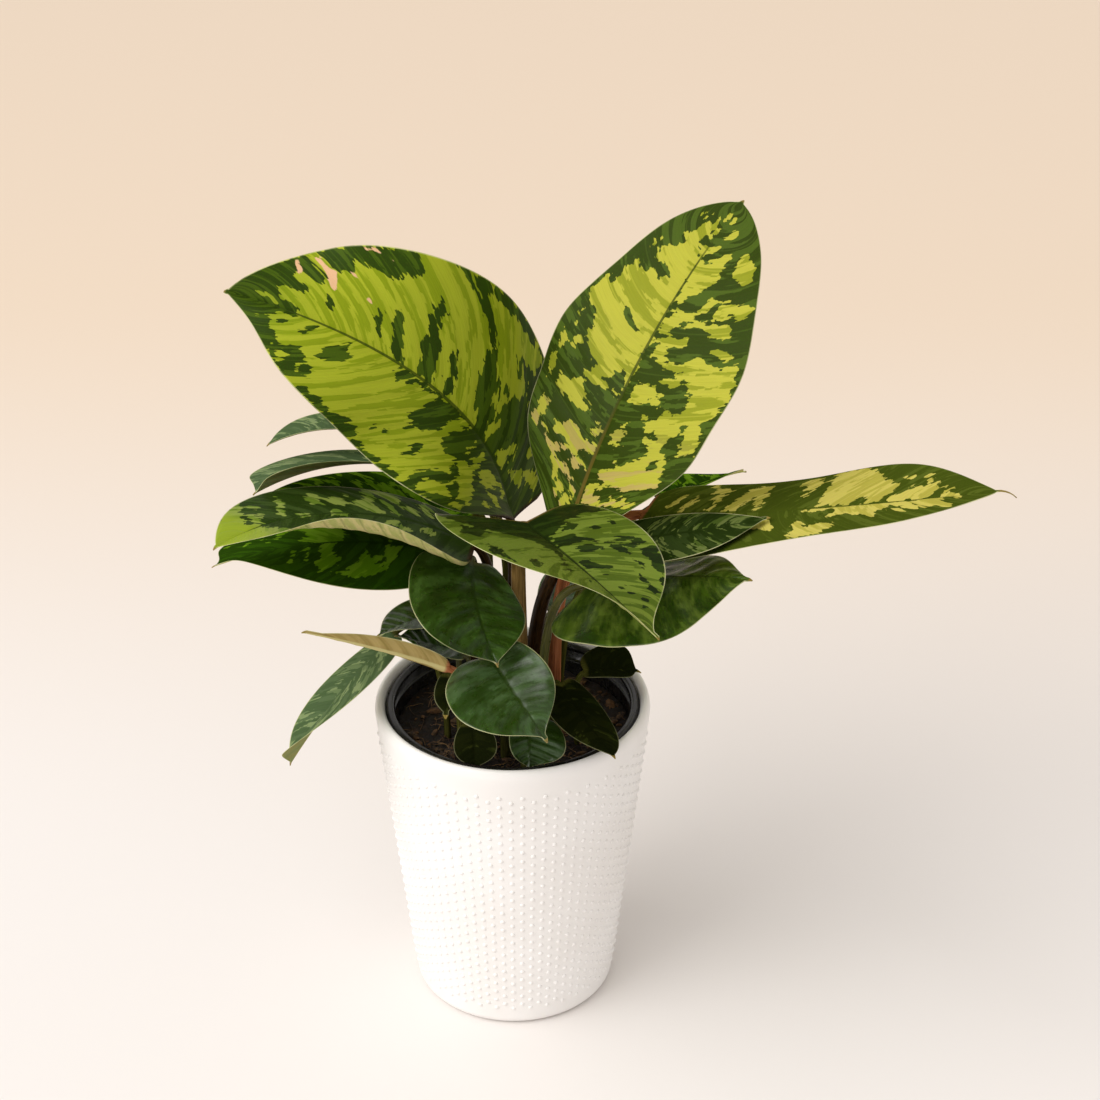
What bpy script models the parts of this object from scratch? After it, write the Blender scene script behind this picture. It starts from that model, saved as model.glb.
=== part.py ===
"""A potted homalomena: a house plant in a black nursery pot, which hangs in a white ceramic pot.

Metres, +Z up. The origin is the middle of the ceramic pot's flat base, and +Y points to the back.
Every leaf is one solid: a stalk that stands in a plain hole in the soil, and its blade.
"""

from dataclasses import dataclass
from math import cos, log, pi, radians, sin

import bmesh
import bpy
import numpy as np

# Ceramic pot
POT_HEIGHT = 0.158
POT_TOP_RADIUS = 0.065
POT_BASE_RADIUS = 0.048
POT_WALL = 0.0047
POT_FLOOR = 0.006
POT_LIP_ROUND = 0.0045
POT_FOOT_ROUND = 0.005
POT_FLOOR_ROUND = 0.004
RELIEF_TOP = 0.148
RELIEF_BOTTOM = 0.012
RELIEF_ROWS = 16
RELIEF_HEIGHT = 0.0005

# Nursery pot, hung by its rim inside the ceramic pot
NURSERY_TOP = 0.155
NURSERY_BOTTOM = 0.037
NURSERY_WALL = 0.0014
NURSERY_BAND = 0.008
NURSERY_BAND_STEP = 0.0018
NURSERY_BAND_SLOPE = 0.0006
NURSERY_ROLL = 0.0011
NURSERY_ROLL_WIDTH = 0.0017
NURSERY_RIM_LEVEL = 0.152
NURSERY_BASE_RADIUS = 0.043
DRAIN_HOLES = 6
DRAIN_RADIUS = 0.004
DRAIN_CIRCLE = 0.028
CUT_SIDES = 10

# Soil
SOIL_TOP = 0.142
SOIL_BUMP = 0.0012
STALK_DEPTH = 0.010

# Shared by every piece
GAP = 0.0003
TURNS = 40
CLEAN_SIZE = 0.00002

# Leaves
BLADE_THICKNESS = 0.0007
RIB_HALF_WIDTH = 0.0018
RIB_SHARE = 0.3
KEEL_DEPTH = 0.8
TIP_HALF_WIDTH = 0.0013
STALK_JOIN = 0.012
STALK_FLAT = 0.6
STALK_SPREAD = radians(80)
WAVE_SHIFT = 2.1
MIDRIB_SAMPLES = 81
STALK_SAMPLES = 41

# Division of a leaf into facets: columns on each half, rings of the stalk, rows of the blade
LARGE_LEAF = 0.09
LARGE_COLUMNS = (0.36, 0.70, 1.0)
SMALL_COLUMNS = (0.55, 1.0)
LARGE_RINGS = 7
SMALL_RINGS = 6
LARGE_ROWS = 13
SMALL_ROWS = 9


@dataclass
class Leaf:
    """One leaf. Lengths are metres and angles are degrees. Pairs are the left and the right half,
    as seen from the base towards the tip with the upper face up."""

    name: str
    foot: tuple                  # x and y where the stalk leaves the soil
    base: tuple                  # where the blade starts
    heading: float               # way the midrib points at the base, 0 is +X and 90 is +Y
    rise: float                  # climb of the midrib at the base
    length: float                # along the midrib
    widths: tuple                # half-widths at the widest place
    turn: float = 0.0            # change of heading towards the tip
    droop: float = 0.0           # loss of climb towards the tip
    roll: float = 0.0            # lean of the upper face to the right
    twist: float = 0.0           # change of roll towards the tip
    fold: tuple = (12, 12)       # lift of each half at the midrib
    fold_tip: tuple = None       # the same at the tip
    curl: tuple = (0, 0)         # further lift between midrib and margin
    curl_tip: tuple = None       # the same at the tip
    widest: float = 0.42         # place of the widest part along the midrib
    base_round: float = 0.5      # below 1 is rounded, 1 is wedge-shaped
    tip_round: float = 0.95      # the same at the tip, above 1 is drawn out
    sweep: float = 0.3           # forward slant of the side veins
    lobe: float = 0.6            # backward slant of the side veins at the base
    hip: float = 0.0             # more of this slant on the right half
    wave: float = 0.0            # height of the margin's waves
    waves: float = 2.0           # number of waves
    phase: float = 0.0           # place of the first wave
    stalk: tuple = (0.0030, 0.0020)  # stalk radius at the soil and at the blade
    lift: float = 0.5            # how far the stalk climbs before it bends
    reach: float = 0.35          # how far back the stalk lines up with the midrib

    def __post_init__(self):
        self.fold_tip = self.fold_tip or self.fold
        self.curl_tip = self.curl_tip or self.curl


THIN = (0.0021, 0.0014)
MIDDLING = (0.0026, 0.0018)

LEAVES = [
    Leaf("leaf_tall_left", foot=(0.000, 0.012), base=(-0.0006, 0.029, 0.2358), heading=228,
         turn=-82, rise=82, droop=84, length=0.1905, widths=(0.0483, 0.0533), roll=-81, twist=23,
         fold=(16, -4), fold_tip=(48, 22), widest=0.26, base_round=0.62, tip_round=0.87, sweep=0.68,
         lobe=-0.2, hip=0.9, wave=0.0078, waves=2.0, phase=0.1, stalk=(0.0034, 0.0024)),
    Leaf("leaf_tall_right", foot=(0.0078, 0.001), base=(0.0225, -0.0035, 0.2345), heading=37,
         turn=7, rise=72, droop=38, length=0.181, widths=(0.045, 0.055), roll=-7, twist=13,
         fold=(17, 1), fold_tip=(15, -10), widest=0.43, base_round=0.74, tip_round=0.62, sweep=0.0,
         lobe=-0.62, wave=0.0016, waves=3.0, phase=3.7, stalk=(0.0036, 0.0026), lift=0.8,
         reach=0.15),
    Leaf("leaf_long_right", foot=(0.0175, 0.007), base=(0.0605, 0.012, 0.248), heading=-30, turn=16,
         rise=15, length=0.1635, widths=(0.049, 0.035), roll=6, twist=-33, fold=(-9, -20),
         fold_tip=(22, -7), widest=0.39, base_round=0.3, tip_round=0.77, sweep=0.19, lobe=0.52,
         wave=0.004, waves=1.0, phase=3.2, stalk=(0.0036, 0.0024), lift=0.7),
    Leaf("leaf_short_right", foot=(0.0200, -0.001), base=(0.0375, -0.018, 0.2495), heading=-7,
         rise=9, droop=-8, length=0.0765, widths=(0.013, 0.0215), roll=8, twist=-3, fold=(11, 1),
         fold_tip=(1, 6), widest=0.4, tip_round=0.85, stalk=MIDDLING, lift=0.95, reach=0.12),
    Leaf("leaf_back_right", foot=(0.022, 0.024), base=(0.0705, 0.050, 0.235), heading=33, turn=12,
         rise=10, droop=24, length=0.053, widths=(0.019, 0.015), roll=-12, twist=-14, fold=(14, 12),
         fold_tip=(1, 12), tip_round=1.0, stalk=THIN),
    Leaf("leaf_front_arching", foot=(0.0045, -0.01), base=(0.007, -0.020, 0.2595), heading=-70,
         turn=15, rise=14, droop=24, length=0.116, widths=(0.036, 0.050), roll=-15, twist=20,
         fold=(25, -4), fold_tip=(-8, 62), widest=0.28, base_round=0.47, tip_round=1.1, sweep=0.59,
         lobe=1.17, stalk=(0.0034, 0.0024), reach=0.17),
    Leaf("leaf_left_upper", foot=(-0.007, -0.001), base=(-0.016, -0.006, 0.2415), heading=174,
         turn=56, rise=28, droop=34, length=0.1265, widths=(0.0565, 0.026), roll=-13, twist=31,
         fold=(-8, -15), fold_tip=(6, 31), curl=(65, 0), curl_tip=(0, 0), widest=0.43,
         base_round=0.3, tip_round=0.7, sweep=0.5, lobe=0.5, reach=0.12),
    Leaf("leaf_left_lower", foot=(-0.015, -0.004), base=(-0.0275, 0.0, 0.2347), heading=173,
         turn=33, rise=11, droop=19, length=0.1072, widths=(0.0424, 0.047), roll=9, twist=29,
         fold=(-36, 12), fold_tip=(-4, 16), widest=0.5, base_round=0.45, tip_round=0.88, sweep=0.53,
         lobe=0.7, reach=0.1),
    Leaf("leaf_left_behind", foot=(-0.012, 0.016), base=(-0.0165, 0.029, 0.2395), heading=180,
         turn=11, rise=11, droop=9, length=0.1005, widths=(0.028, 0.030), roll=7, twist=11,
         fold=(0, 11), fold_tip=(0, 13), widest=0.38, tip_round=0.73, sweep=0.35, lobe=0.3,
         reach=0.1),
    Leaf("leaf_back_left_high", foot=(-0.004, 0.040), base=(-0.0445, 0.047, 0.2645), heading=174,
         turn=11, rise=28, droop=54, length=0.0705, widths=(0.012, 0.0155), roll=9, fold=(14, 3),
         fold_tip=(16, 24), tip_round=0.6, reach=0.45, stalk=THIN),
    Leaf("leaf_back_left_low", foot=(-0.008, 0.033), base=(-0.0365, 0.032, 0.26), heading=182,
         turn=26, rise=18, droop=37, length=0.0833, widths=(0.024, 0.0275), roll=13, twist=20,
         fold=(4, 6), fold_tip=(12, 26), widest=0.58, base_round=0.5, tip_round=0.6, sweep=0.68,
         lobe=0.62, stalk=THIN, reach=0.45),
    Leaf("leaf_front_drooping", foot=(-0.012, -0.020), base=(-0.0175, -0.016, 0.238), heading=-89,
         turn=30, rise=-25, droop=14, length=0.051, widths=(0.022, 0.033), roll=-19, twist=9,
         fold=(-15, -3), fold_tip=(24, 23), widest=0.4, base_round=0.44, tip_round=0.75,
         sweep=0.27, lobe=0.7, stalk=MIDDLING, lift=0.8, reach=0.15),
    Leaf("leaf_front_heart", foot=(-0.003, -0.026), base=(-0.008, -0.0405, 0.203), heading=-74,
         turn=37, rise=1, droop=49, length=0.0485, widths=(0.019, 0.0285), roll=23, twist=-19,
         fold=(19, 4), fold_tip=(16, 10), widest=0.43, base_round=0.63, tip_round=1.15,
         sweep=0.16, lobe=1.08, stalk=MIDDLING, reach=0.2),
    Leaf("leaf_unfurling", foot=(-0.016, -0.027), base=(-0.0275, -0.034, 0.194), heading=180,
         turn=-4, rise=20, droop=10, length=0.066, widths=(0.0065, 0.0065), roll=75, fold=(0, 0),
         curl=(40, 40), fold_tip=(35, 35), curl_tip=(50, 50), widest=0.3, tip_round=1.0, sweep=0.1,
         lobe=0.0, stalk=MIDDLING, reach=0.25),
    Leaf("leaf_hanging_left", foot=(-0.030, -0.009), base=(-0.0535, -0.001, 0.193), heading=214,
         turn=-10, rise=-32, droop=24, length=0.0775, widths=(0.0265, 0.013), roll=7, twist=8,
         fold=(-2, 0), fold_tip=(44, 38), widest=0.52, base_round=0.47, tip_round=0.6, sweep=0.47,
         lobe=0.72, stalk=THIN),
    Leaf("leaf_small_left_high", foot=(-0.024, -0.002), base=(-0.035, -0.003, 0.2045), heading=203,
         rise=-2, droop=17, length=0.028, widths=(0.015, 0.015), twist=19, fold=(4, 16),
         fold_tip=(14, 1), widest=0.37, tip_round=0.86, stalk=THIN, reach=0.2),
    Leaf("leaf_small_left_low", foot=(-0.021, -0.016), base=(-0.022, -0.015, 0.1905), heading=180,
         rise=21, droop=9, length=0.0305, widths=(0.014, 0.014), twist=5, fold=(6, 12),
         fold_tip=(19, 12), stalk=THIN, reach=0.15),
    Leaf("leaf_right_broad", foot=(0.0125, -0.0135), base=(0.037, -0.014, 0.227), heading=-29,
         turn=6, rise=24, droop=18, length=0.0765, widths=(0.028, 0.042), roll=4, twist=3,
         fold=(-18, -20), fold_tip=(-6, -6), widest=0.38, base_round=0.47, tip_round=1.0, lobe=1.25,
         stalk=(0.003, 0.0022), lift=0.93, reach=0.2),
    Leaf("leaf_small_right", foot=(0.030, -0.014), base=(0.0335, -0.010, 0.177), heading=6,
         turn=-6, rise=14, droop=30, length=0.0245, widths=(0.0165, 0.0155), fold=(13, 17),
         stalk=THIN, reach=0.2),
    Leaf("leaf_low_right", foot=(0.018, -0.025), base=(0.022, -0.025, 0.1795), heading=-59,
         rise=-18, droop=-6, length=0.047, widths=(0.014, 0.0185), roll=-11, twist=-11,
         fold=(4, 4), fold_tip=(-7, 5), base_round=0.39, tip_round=0.68, lobe=0.9, stalk=THIN,
         reach=0.3),
    Leaf("leaf_low_front", foot=(0.006, -0.036), base=(0.008, -0.034, 0.1665), heading=-89,
         rise=-15, droop=40, length=0.023, widths=(0.0165, 0.010), roll=-12, tip_round=0.7,
         stalk=THIN, reach=0.35),
    Leaf("leaf_low_front_left", foot=(-0.021, -0.036), base=(-0.0175, -0.036, 0.166), heading=-85,
         rise=-30, droop=30, length=0.021, widths=(0.0105, 0.0095), lobe=0.4, stalk=THIN, reach=0.4),
    Leaf("leaf_low_left", foot=(-0.023, -0.024), base=(-0.0285, -0.022, 0.1835), heading=-95,
         rise=-35, droop=20, length=0.019, widths=(0.005, 0.006), stalk=THIN, reach=0.3),
    Leaf("leaf_low_back_left", foot=(-0.014, 0.037), base=(-0.020, 0.046, 0.180), heading=115,
         rise=20, droop=50, length=0.048, widths=(0.014, 0.014), stalk=THIN, reach=0.25),
    Leaf("leaf_low_back_right", foot=(0.008, 0.034), base=(0.018, 0.044, 0.178), heading=62,
         rise=22, droop=50, length=0.046, widths=(0.014, 0.014), stalk=THIN, reach=0.25),
]


def clear_scene():
    """Remove whatever the open file holds."""
    for item in list(bpy.data.objects):
        bpy.data.objects.remove(item, do_unlink=True)


def new_collection(name):
    """A collection in the scene."""
    group = bpy.data.collections.new(name)
    bpy.context.scene.collection.children.link(group)
    return group


def new_material(name, colour, roughness, metallic=0.0):
    """A Principled BSDF material with a plain colour."""
    material = bpy.data.materials.new(name)
    material.use_nodes = True
    shader = material.node_tree.nodes["Principled BSDF"]
    shader.inputs["Base Color"].default_value = (*colour, 1.0)
    shader.inputs["Roughness"].default_value = roughness
    shader.inputs["Metallic"].default_value = metallic
    return material


def place(name, mesh, group, material):
    """Put a mesh in the scene as one named object."""
    item = bpy.data.objects.new(name, mesh)
    group.objects.link(item)
    mesh.materials.append(material)
    return item


def evaluated_mesh(item):
    """The mesh that an object's modifiers give."""
    graph = bpy.context.evaluated_depsgraph_get()
    return bpy.data.meshes.new_from_object(item.evaluated_get(graph))


def turned(name, profile, group, material):
    """A turned solid: a profile of (radius, height) points, down its outer side, screwed about Z."""
    mesh = bpy.data.meshes.new(name + "_profile")
    points = [(radius, 0.0, height) for radius, height in profile]
    mesh.from_pydata(points, [(i, i + 1) for i in range(len(points) - 1)], [])
    item = place(name, mesh, group, material)
    screw = item.modifiers.new("Turn", "SCREW")
    screw.axis = "Z"
    screw.steps = TURNS
    screw.render_steps = TURNS
    screw.use_merge_vertices = True
    screw.merge_threshold = 0.00005
    shape = evaluated_mesh(item)
    item.modifiers.clear()
    item.data = shape
    bpy.data.meshes.remove(mesh)
    shape.shade_smooth()
    return item


def arc(centre, radius, start, end, count):
    """Points on a circle from one angle in degrees to another."""
    angles = np.radians(np.linspace(start, end, count))
    return [(centre[0] + radius * cos(a), centre[1] + radius * sin(a)) for a in angles]


def outer_radius(height):
    """Outside of the ceramic pot's straight tapered wall."""
    return POT_BASE_RADIUS + (POT_TOP_RADIUS - POT_BASE_RADIUS) * height / POT_HEIGHT


def inner_radius(height):
    """Inside of the ceramic pot's wall."""
    return outer_radius(height) - POT_WALL


def make_ceramic_pot(group):
    """The white pot: tapered wall, rounded lip, flat base, and a relief of raised dots outside."""
    lip_height = POT_HEIGHT - POT_LIP_ROUND
    crown = (outer_radius(lip_height) + inner_radius(lip_height)) / 2
    half = POT_WALL / 2
    lip = [(crown - half * cos(a), lip_height + POT_LIP_ROUND * sin(a)) for a in np.linspace(0, pi, 9)]
    rows = [(outer_radius(z), z) for z in np.linspace(RELIEF_TOP, RELIEF_BOTTOM, RELIEF_ROWS)]
    foot = arc((outer_radius(POT_FOOT_ROUND) - POT_FOOT_ROUND, POT_FOOT_ROUND), POT_FOOT_ROUND, 0, -90, 4)
    floor = inner_radius(POT_FLOOR)
    inside = [(0.0, POT_FLOOR), (floor - POT_FLOOR_ROUND, POT_FLOOR)]
    inside.append((inner_radius(POT_FLOOR + POT_FLOOR_ROUND), POT_FLOOR + POT_FLOOR_ROUND))
    profile = inside + lip + rows + foot + [(0.0, 0.0)]
    ceramic = new_material("white_glaze", (0.86, 0.84, 0.81), 0.35)
    pot = turned("ceramic_pot", profile, group, ceramic)

    step = (RELIEF_TOP - RELIEF_BOTTOM) / (RELIEF_ROWS - 1)
    for vertex in pot.data.vertices:
        x, y, z = vertex.co
        radius = (x * x + y * y) ** 0.5
        row = round((RELIEF_TOP - z) / step)
        on_row = abs(RELIEF_TOP - z - row * step) < step / 100 and 0 <= row < RELIEF_ROWS
        if on_row and radius > outer_radius(z) - POT_WALL / 2:
            column = round(np.arctan2(y, x) / (2 * pi) * TURNS)
            if (row + column) % 2:
                grown = (radius + RELIEF_HEIGHT) / radius
                vertex.co = (x * grown, y * grown, z)
    form = bmesh.new()
    form.from_mesh(pot.data)
    bmesh.ops.triangulate(form, faces=form.faces, quad_method="SHORT_EDGE")
    form.to_mesh(pot.data)
    form.free()
    return pot


def make_nursery_pot(group, cutters):
    """The black pot: thin tapered wall, a stepped band under its rolled rim, and drain holes."""
    band_low = NURSERY_TOP - NURSERY_BAND
    rim = inner_radius(NURSERY_RIM_LEVEL) - GAP
    band = inner_radius(band_low) - GAP
    wall_top = band - NURSERY_BAND_STEP
    wall = NURSERY_WALL
    slope = NURSERY_BAND_SLOPE
    profile = [(0.0, NURSERY_BOTTOM + wall), (NURSERY_BASE_RADIUS - wall, NURSERY_BOTTOM + wall)]
    profile += [(wall_top - wall, band_low - slope), (band - wall, band_low + slope)]
    profile += arc((rim - NURSERY_ROLL_WIDTH, NURSERY_TOP - NURSERY_ROLL), NURSERY_ROLL_WIDTH, 180, 0, 6)
    profile += [(band, band_low), (wall_top, band_low - slope)]
    profile += [(NURSERY_BASE_RADIUS, NURSERY_BOTTOM + wall), (NURSERY_BASE_RADIUS - wall, NURSERY_BOTTOM)]
    profile += [(0.0, NURSERY_BOTTOM)]
    plastic = new_material("black_plastic", (0.012, 0.012, 0.013), 0.3)
    pot = turned("nursery_pot", profile, group, plastic)
    for i in range(DRAIN_HOLES):
        angle = 2 * pi * (i + 0.5) / DRAIN_HOLES
        middle = (DRAIN_CIRCLE * cos(angle), DRAIN_CIRCLE * sin(angle), NURSERY_BOTTOM)
        add_peg(cutters["drains"], "drain_cut", middle, DRAIN_RADIUS, 6 * NURSERY_WALL)
    cut_with(pot, cutters["drains"])
    keep_cut(pot)
    return pot


def nursery_inside(height):
    """Inside of the nursery pot's wall below its band."""
    top_height = NURSERY_TOP - NURSERY_BAND - NURSERY_BAND_SLOPE
    top = inner_radius(NURSERY_TOP - NURSERY_BAND) - GAP - NURSERY_BAND_STEP - NURSERY_WALL
    low = NURSERY_BASE_RADIUS - NURSERY_WALL
    low_height = NURSERY_BOTTOM + NURSERY_WALL
    return low + (top - low) * (height - low_height) / (top_height - low_height)


def make_soil(group, cutters):
    """The soil: it fills the nursery pot, with an uneven top and a plain hole for every stalk."""
    bottom = NURSERY_BOTTOM + NURSERY_WALL + GAP
    edge = nursery_inside(SOIL_TOP) - GAP
    profile = [(edge * i / 6, SOIL_TOP) for i in range(7)]
    profile += [(nursery_inside(bottom) - 2 * GAP, bottom), (0.0, bottom)]
    earth = new_material("soil", (0.030, 0.019, 0.012), 0.95)
    soil = turned("soil", profile, group, earth)
    for leaf in LEAVES:
        middle = (leaf.foot[0], leaf.foot[1], SOIL_TOP)
        add_peg(cutters["holes"], "hole_cut", middle, leaf.stalk[0] + 2 * GAP, 2 * (STALK_DEPTH + GAP))
    cut_with(soil, cutters["holes"])
    keep_cut(soil)
    for vertex in soil.data.vertices:
        x, y, z = vertex.co
        radius = (x * x + y * y) ** 0.5
        if z > SOIL_TOP - GAP and radius < edge - GAP:
            waves = sin(190 * x + 1.0) * cos(160 * y) + 0.7 * sin(330 * y + 410 * x)
            vertex.co.z = z + SOIL_BUMP * waves * (1 - (radius / edge) ** 4)
    return soil


def add_peg(group, name, middle, radius, height):
    """A closed cylinder that cuts a round hole."""
    mesh = bpy.data.meshes.new(name)
    form = bmesh.new()
    bmesh.ops.create_cone(
        form, cap_ends=True, segments=CUT_SIDES, radius1=radius, radius2=radius, depth=height)
    form.to_mesh(mesh)
    form.free()
    item = bpy.data.objects.new(name, mesh)
    item.location = middle
    item.display_type = "WIRE"
    item.hide_render = True
    group.objects.link(item)
    return item


def cut_with(item, group):
    """Cut all of a collection's solids out of an object."""
    cut = item.modifiers.new("Cut", "BOOLEAN")
    cut.operation = "DIFFERENCE"
    cut.operand_type = "COLLECTION"
    cut.collection = group
    cut.solver = "EXACT"


def keep_cut(item):
    """Keep the cut form as the object's own mesh, split into sound triangles."""
    shape = evaluated_mesh(item)
    item.modifiers.clear()
    item.data = shape
    form = bmesh.new()
    form.from_mesh(shape)
    bmesh.ops.remove_doubles(form, verts=form.verts, dist=CLEAN_SIZE)
    bmesh.ops.dissolve_degenerate(form, edges=form.edges, dist=CLEAN_SIZE)
    bmesh.ops.triangulate(form, faces=form.faces)
    form.to_mesh(shape)
    form.free()


def unit(vectors):
    """Vectors scaled to length one."""
    return vectors / np.linalg.norm(vectors, axis=-1, keepdims=True)


def midrib(leaf, count=MIDRIB_SAMPLES):
    """Places, points, directions and upward normals along the midrib."""
    t = np.linspace(0, 1, count)
    heading = np.radians(leaf.heading + leaf.turn * t)
    climb = np.radians(leaf.rise - leaf.droop * t)
    roll = np.radians(leaf.roll + leaf.twist * t)[:, None]
    way = np.stack([np.cos(climb) * np.cos(heading), np.cos(climb) * np.sin(heading), np.sin(climb)], -1)
    up = np.stack([-np.sin(climb) * np.cos(heading), -np.sin(climb) * np.sin(heading), np.cos(climb)], -1)
    up = up * np.cos(roll) + np.cross(way, up) * np.sin(roll)
    steps = (way[1:] + way[:-1]) * leaf.length / (2 * (count - 1))
    points = np.array(leaf.base) + np.vstack([np.zeros(3), np.cumsum(steps, 0)])
    return t, points, way, up


def outline(leaf, t):
    """Half-width along the midrib as a share of the widest, 0 at both ends."""
    skew = log(0.5) / log(leaf.widest)
    power = leaf.base_round + (leaf.tip_round - leaf.base_round) * t
    return np.sin(pi * np.clip(t, 0, 1) ** skew) ** power


def blade(leaf, t, v):
    """Points and upward normals of the blade's middle surface, for a grid of places:
    t along the midrib, and v from -1 at the left margin to 1 at the right margin."""
    right = v >= 0
    across = np.abs(v)

    def side(pair, tip_pair):
        start = np.where(right, pair[1], pair[0])
        end = np.where(right, tip_pair[1], tip_pair[0])
        return np.radians(start + (end - start) * t)

    share = outline(leaf, t)
    floor = leaf.stalk[1] + (TIP_HALF_WIDTH - leaf.stalk[1]) * t
    width = np.maximum(share * np.where(right, leaf.widths[1], leaf.widths[0]), floor)
    fold = side(leaf.fold, leaf.fold_tip)
    curl = side(leaf.curl, leaf.curl_tip)
    curl = np.where(np.abs(curl) < 0.001, 0.001, curl)
    lean = fold + curl * across
    out = width * (np.sin(lean) - np.sin(fold)) / curl
    rise = width * (np.cos(fold) - np.cos(lean)) / curl
    ripple = np.sin(2 * pi * leaf.waves * t + leaf.phase + np.where(right, WAVE_SHIFT, 0.0))
    rise = rise + leaf.wave * ripple * across ** 2 * np.sqrt(share)

    lobe = leaf.lobe + np.where(right, leaf.hip, 0.0)
    slant = leaf.sweep * (1 - t ** 8) - lobe * (1 - t) ** 4
    place_along = t + across * width * slant / leaf.length
    inside = np.clip(place_along, 0, 1)
    past = ((place_along - inside) * leaf.length)[..., None]
    samples, points, way, up = midrib(leaf)

    def read(values):
        return np.stack([np.interp(inside, samples, values[:, i]) for i in range(3)], -1)

    along = unit(read(way))
    above = read(up)
    above = unit(above - (above * along).sum(-1, keepdims=True) * along)
    sideways = np.cross(along, above) * np.where(right, 1.0, -1.0)[..., None]
    surface = read(points) + past * along + out[..., None] * sideways + rise[..., None] * above
    normals = np.cos(lean)[..., None] * above - np.sin(lean)[..., None] * sideways
    return surface, normals, width


def stalk_line(leaf):
    """Centre points of the stalk: straight in its hole, then one smooth bend up to the blade."""
    foot = np.array([*leaf.foot, SOIL_TOP])
    base = np.array(leaf.base)
    way = midrib(leaf)[2][0]
    span = np.linalg.norm(base - foot)
    lower = foot + np.array([0, 0, span * leaf.lift])
    upper = base - way * span * leaf.reach
    s = np.linspace(0, 1, STALK_SAMPLES)[:, None]
    bend = foot * (1 - s) ** 3 + 3 * lower * s * (1 - s) ** 2 + 3 * upper * s * s * (1 - s) + base * s ** 3
    return np.vstack([foot - [0, 0, STALK_DEPTH], bend])


def stalk_frames(leaf):
    """Centre points, directions and upward normals of the stalk, carried down from the blade."""
    points = stalk_line(leaf)
    way = unit(np.gradient(points, axis=0))
    up = np.zeros_like(points)
    normal = midrib(leaf)[3][0]
    for i in range(len(points) - 1, -1, -1):
        normal = unit(normal - normal.dot(way[i]) * way[i])
        up[i] = normal
    return points, way, up


def stalk_rows(leaf, places, rings):
    """Rings of the stalk from its foot to just below the blade: upper and lower side."""
    points, way, up = stalk_frames(leaf)
    picks = np.linspace(1, len(points) - 1, rings + 1).round().astype(int)[:-1]
    angle = places * STALK_SPREAD
    upper = []
    lower = []
    for i in [0, *picks]:
        share = (i / (len(points) - 1)) ** 0.7
        radius = leaf.stalk[0] + (leaf.stalk[1] - leaf.stalk[0]) * share
        middle = points[i] + radius * np.sin(angle)[:, None] * np.cross(way[i], up[i])
        rise = radius * np.cos(angle)[:, None] * up[i]
        upper.append(middle + STALK_FLAT * rise)
        lower.append(middle - rise)
    return upper, lower


def blade_rows(leaf, places, stations):
    """Rows of the blade from its base to its tip: upper and lower face, with a keel under the midrib.
    The first row is the stalk's section, and it turns into the blade's over a short length."""
    t = (1 - np.cos(np.linspace(0, pi, stations)))[:, None] / 2
    width = np.minimum(blade(leaf, t, -np.ones_like(t))[2], blade(leaf, t, np.ones_like(t))[2])
    rib = np.minimum(RIB_SHARE, RIB_HALF_WIDTH / width)
    places = np.where(np.abs(places) == RIB_SHARE, np.sign(places) * rib, places)
    join = np.minimum(1.0, t * leaf.length / STALK_JOIN)
    join = join * join * (3 - 2 * join)
    angle = places * STALK_SPREAD
    v = (1 - join) * np.sin(angle) + join * places
    surface, normals, _ = blade(leaf, np.broadcast_to(t, v.shape), v)
    slope = unit(np.cross(np.gradient(surface, axis=1), np.gradient(surface, axis=0)))
    trust = (join * (1 - t ** 12))[..., None]
    normals = unit((1 - trust) * normals + trust * slope)
    round_side = (1 - join) * leaf.stalk[1] * np.cos(angle)
    keel = np.where(np.abs(places) <= rib, KEEL_DEPTH * leaf.stalk[1] * (1 - t), 0.0)
    above = STALK_FLAT * round_side + join * BLADE_THICKNESS / 2
    below = round_side + join * (BLADE_THICKNESS / 2 + keel)
    return surface + above[..., None] * normals, surface - below[..., None] * normals


def leaf_rows(leaf):
    """Rings from the stalk's foot to the blade's tip, as two grids: the upper and the lower face."""
    large = leaf.length > LARGE_LEAF
    half = LARGE_COLUMNS if large else SMALL_COLUMNS
    places = np.array([-share for share in reversed(half)] + [-RIB_SHARE, RIB_SHARE] + list(half))
    upper, lower = stalk_rows(leaf, places, LARGE_RINGS if large else SMALL_RINGS)
    blade_upper, blade_lower = blade_rows(leaf, places, LARGE_ROWS if large else SMALL_ROWS)
    return np.array([*upper, *blade_upper]), np.array([*lower, *blade_lower])


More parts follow.
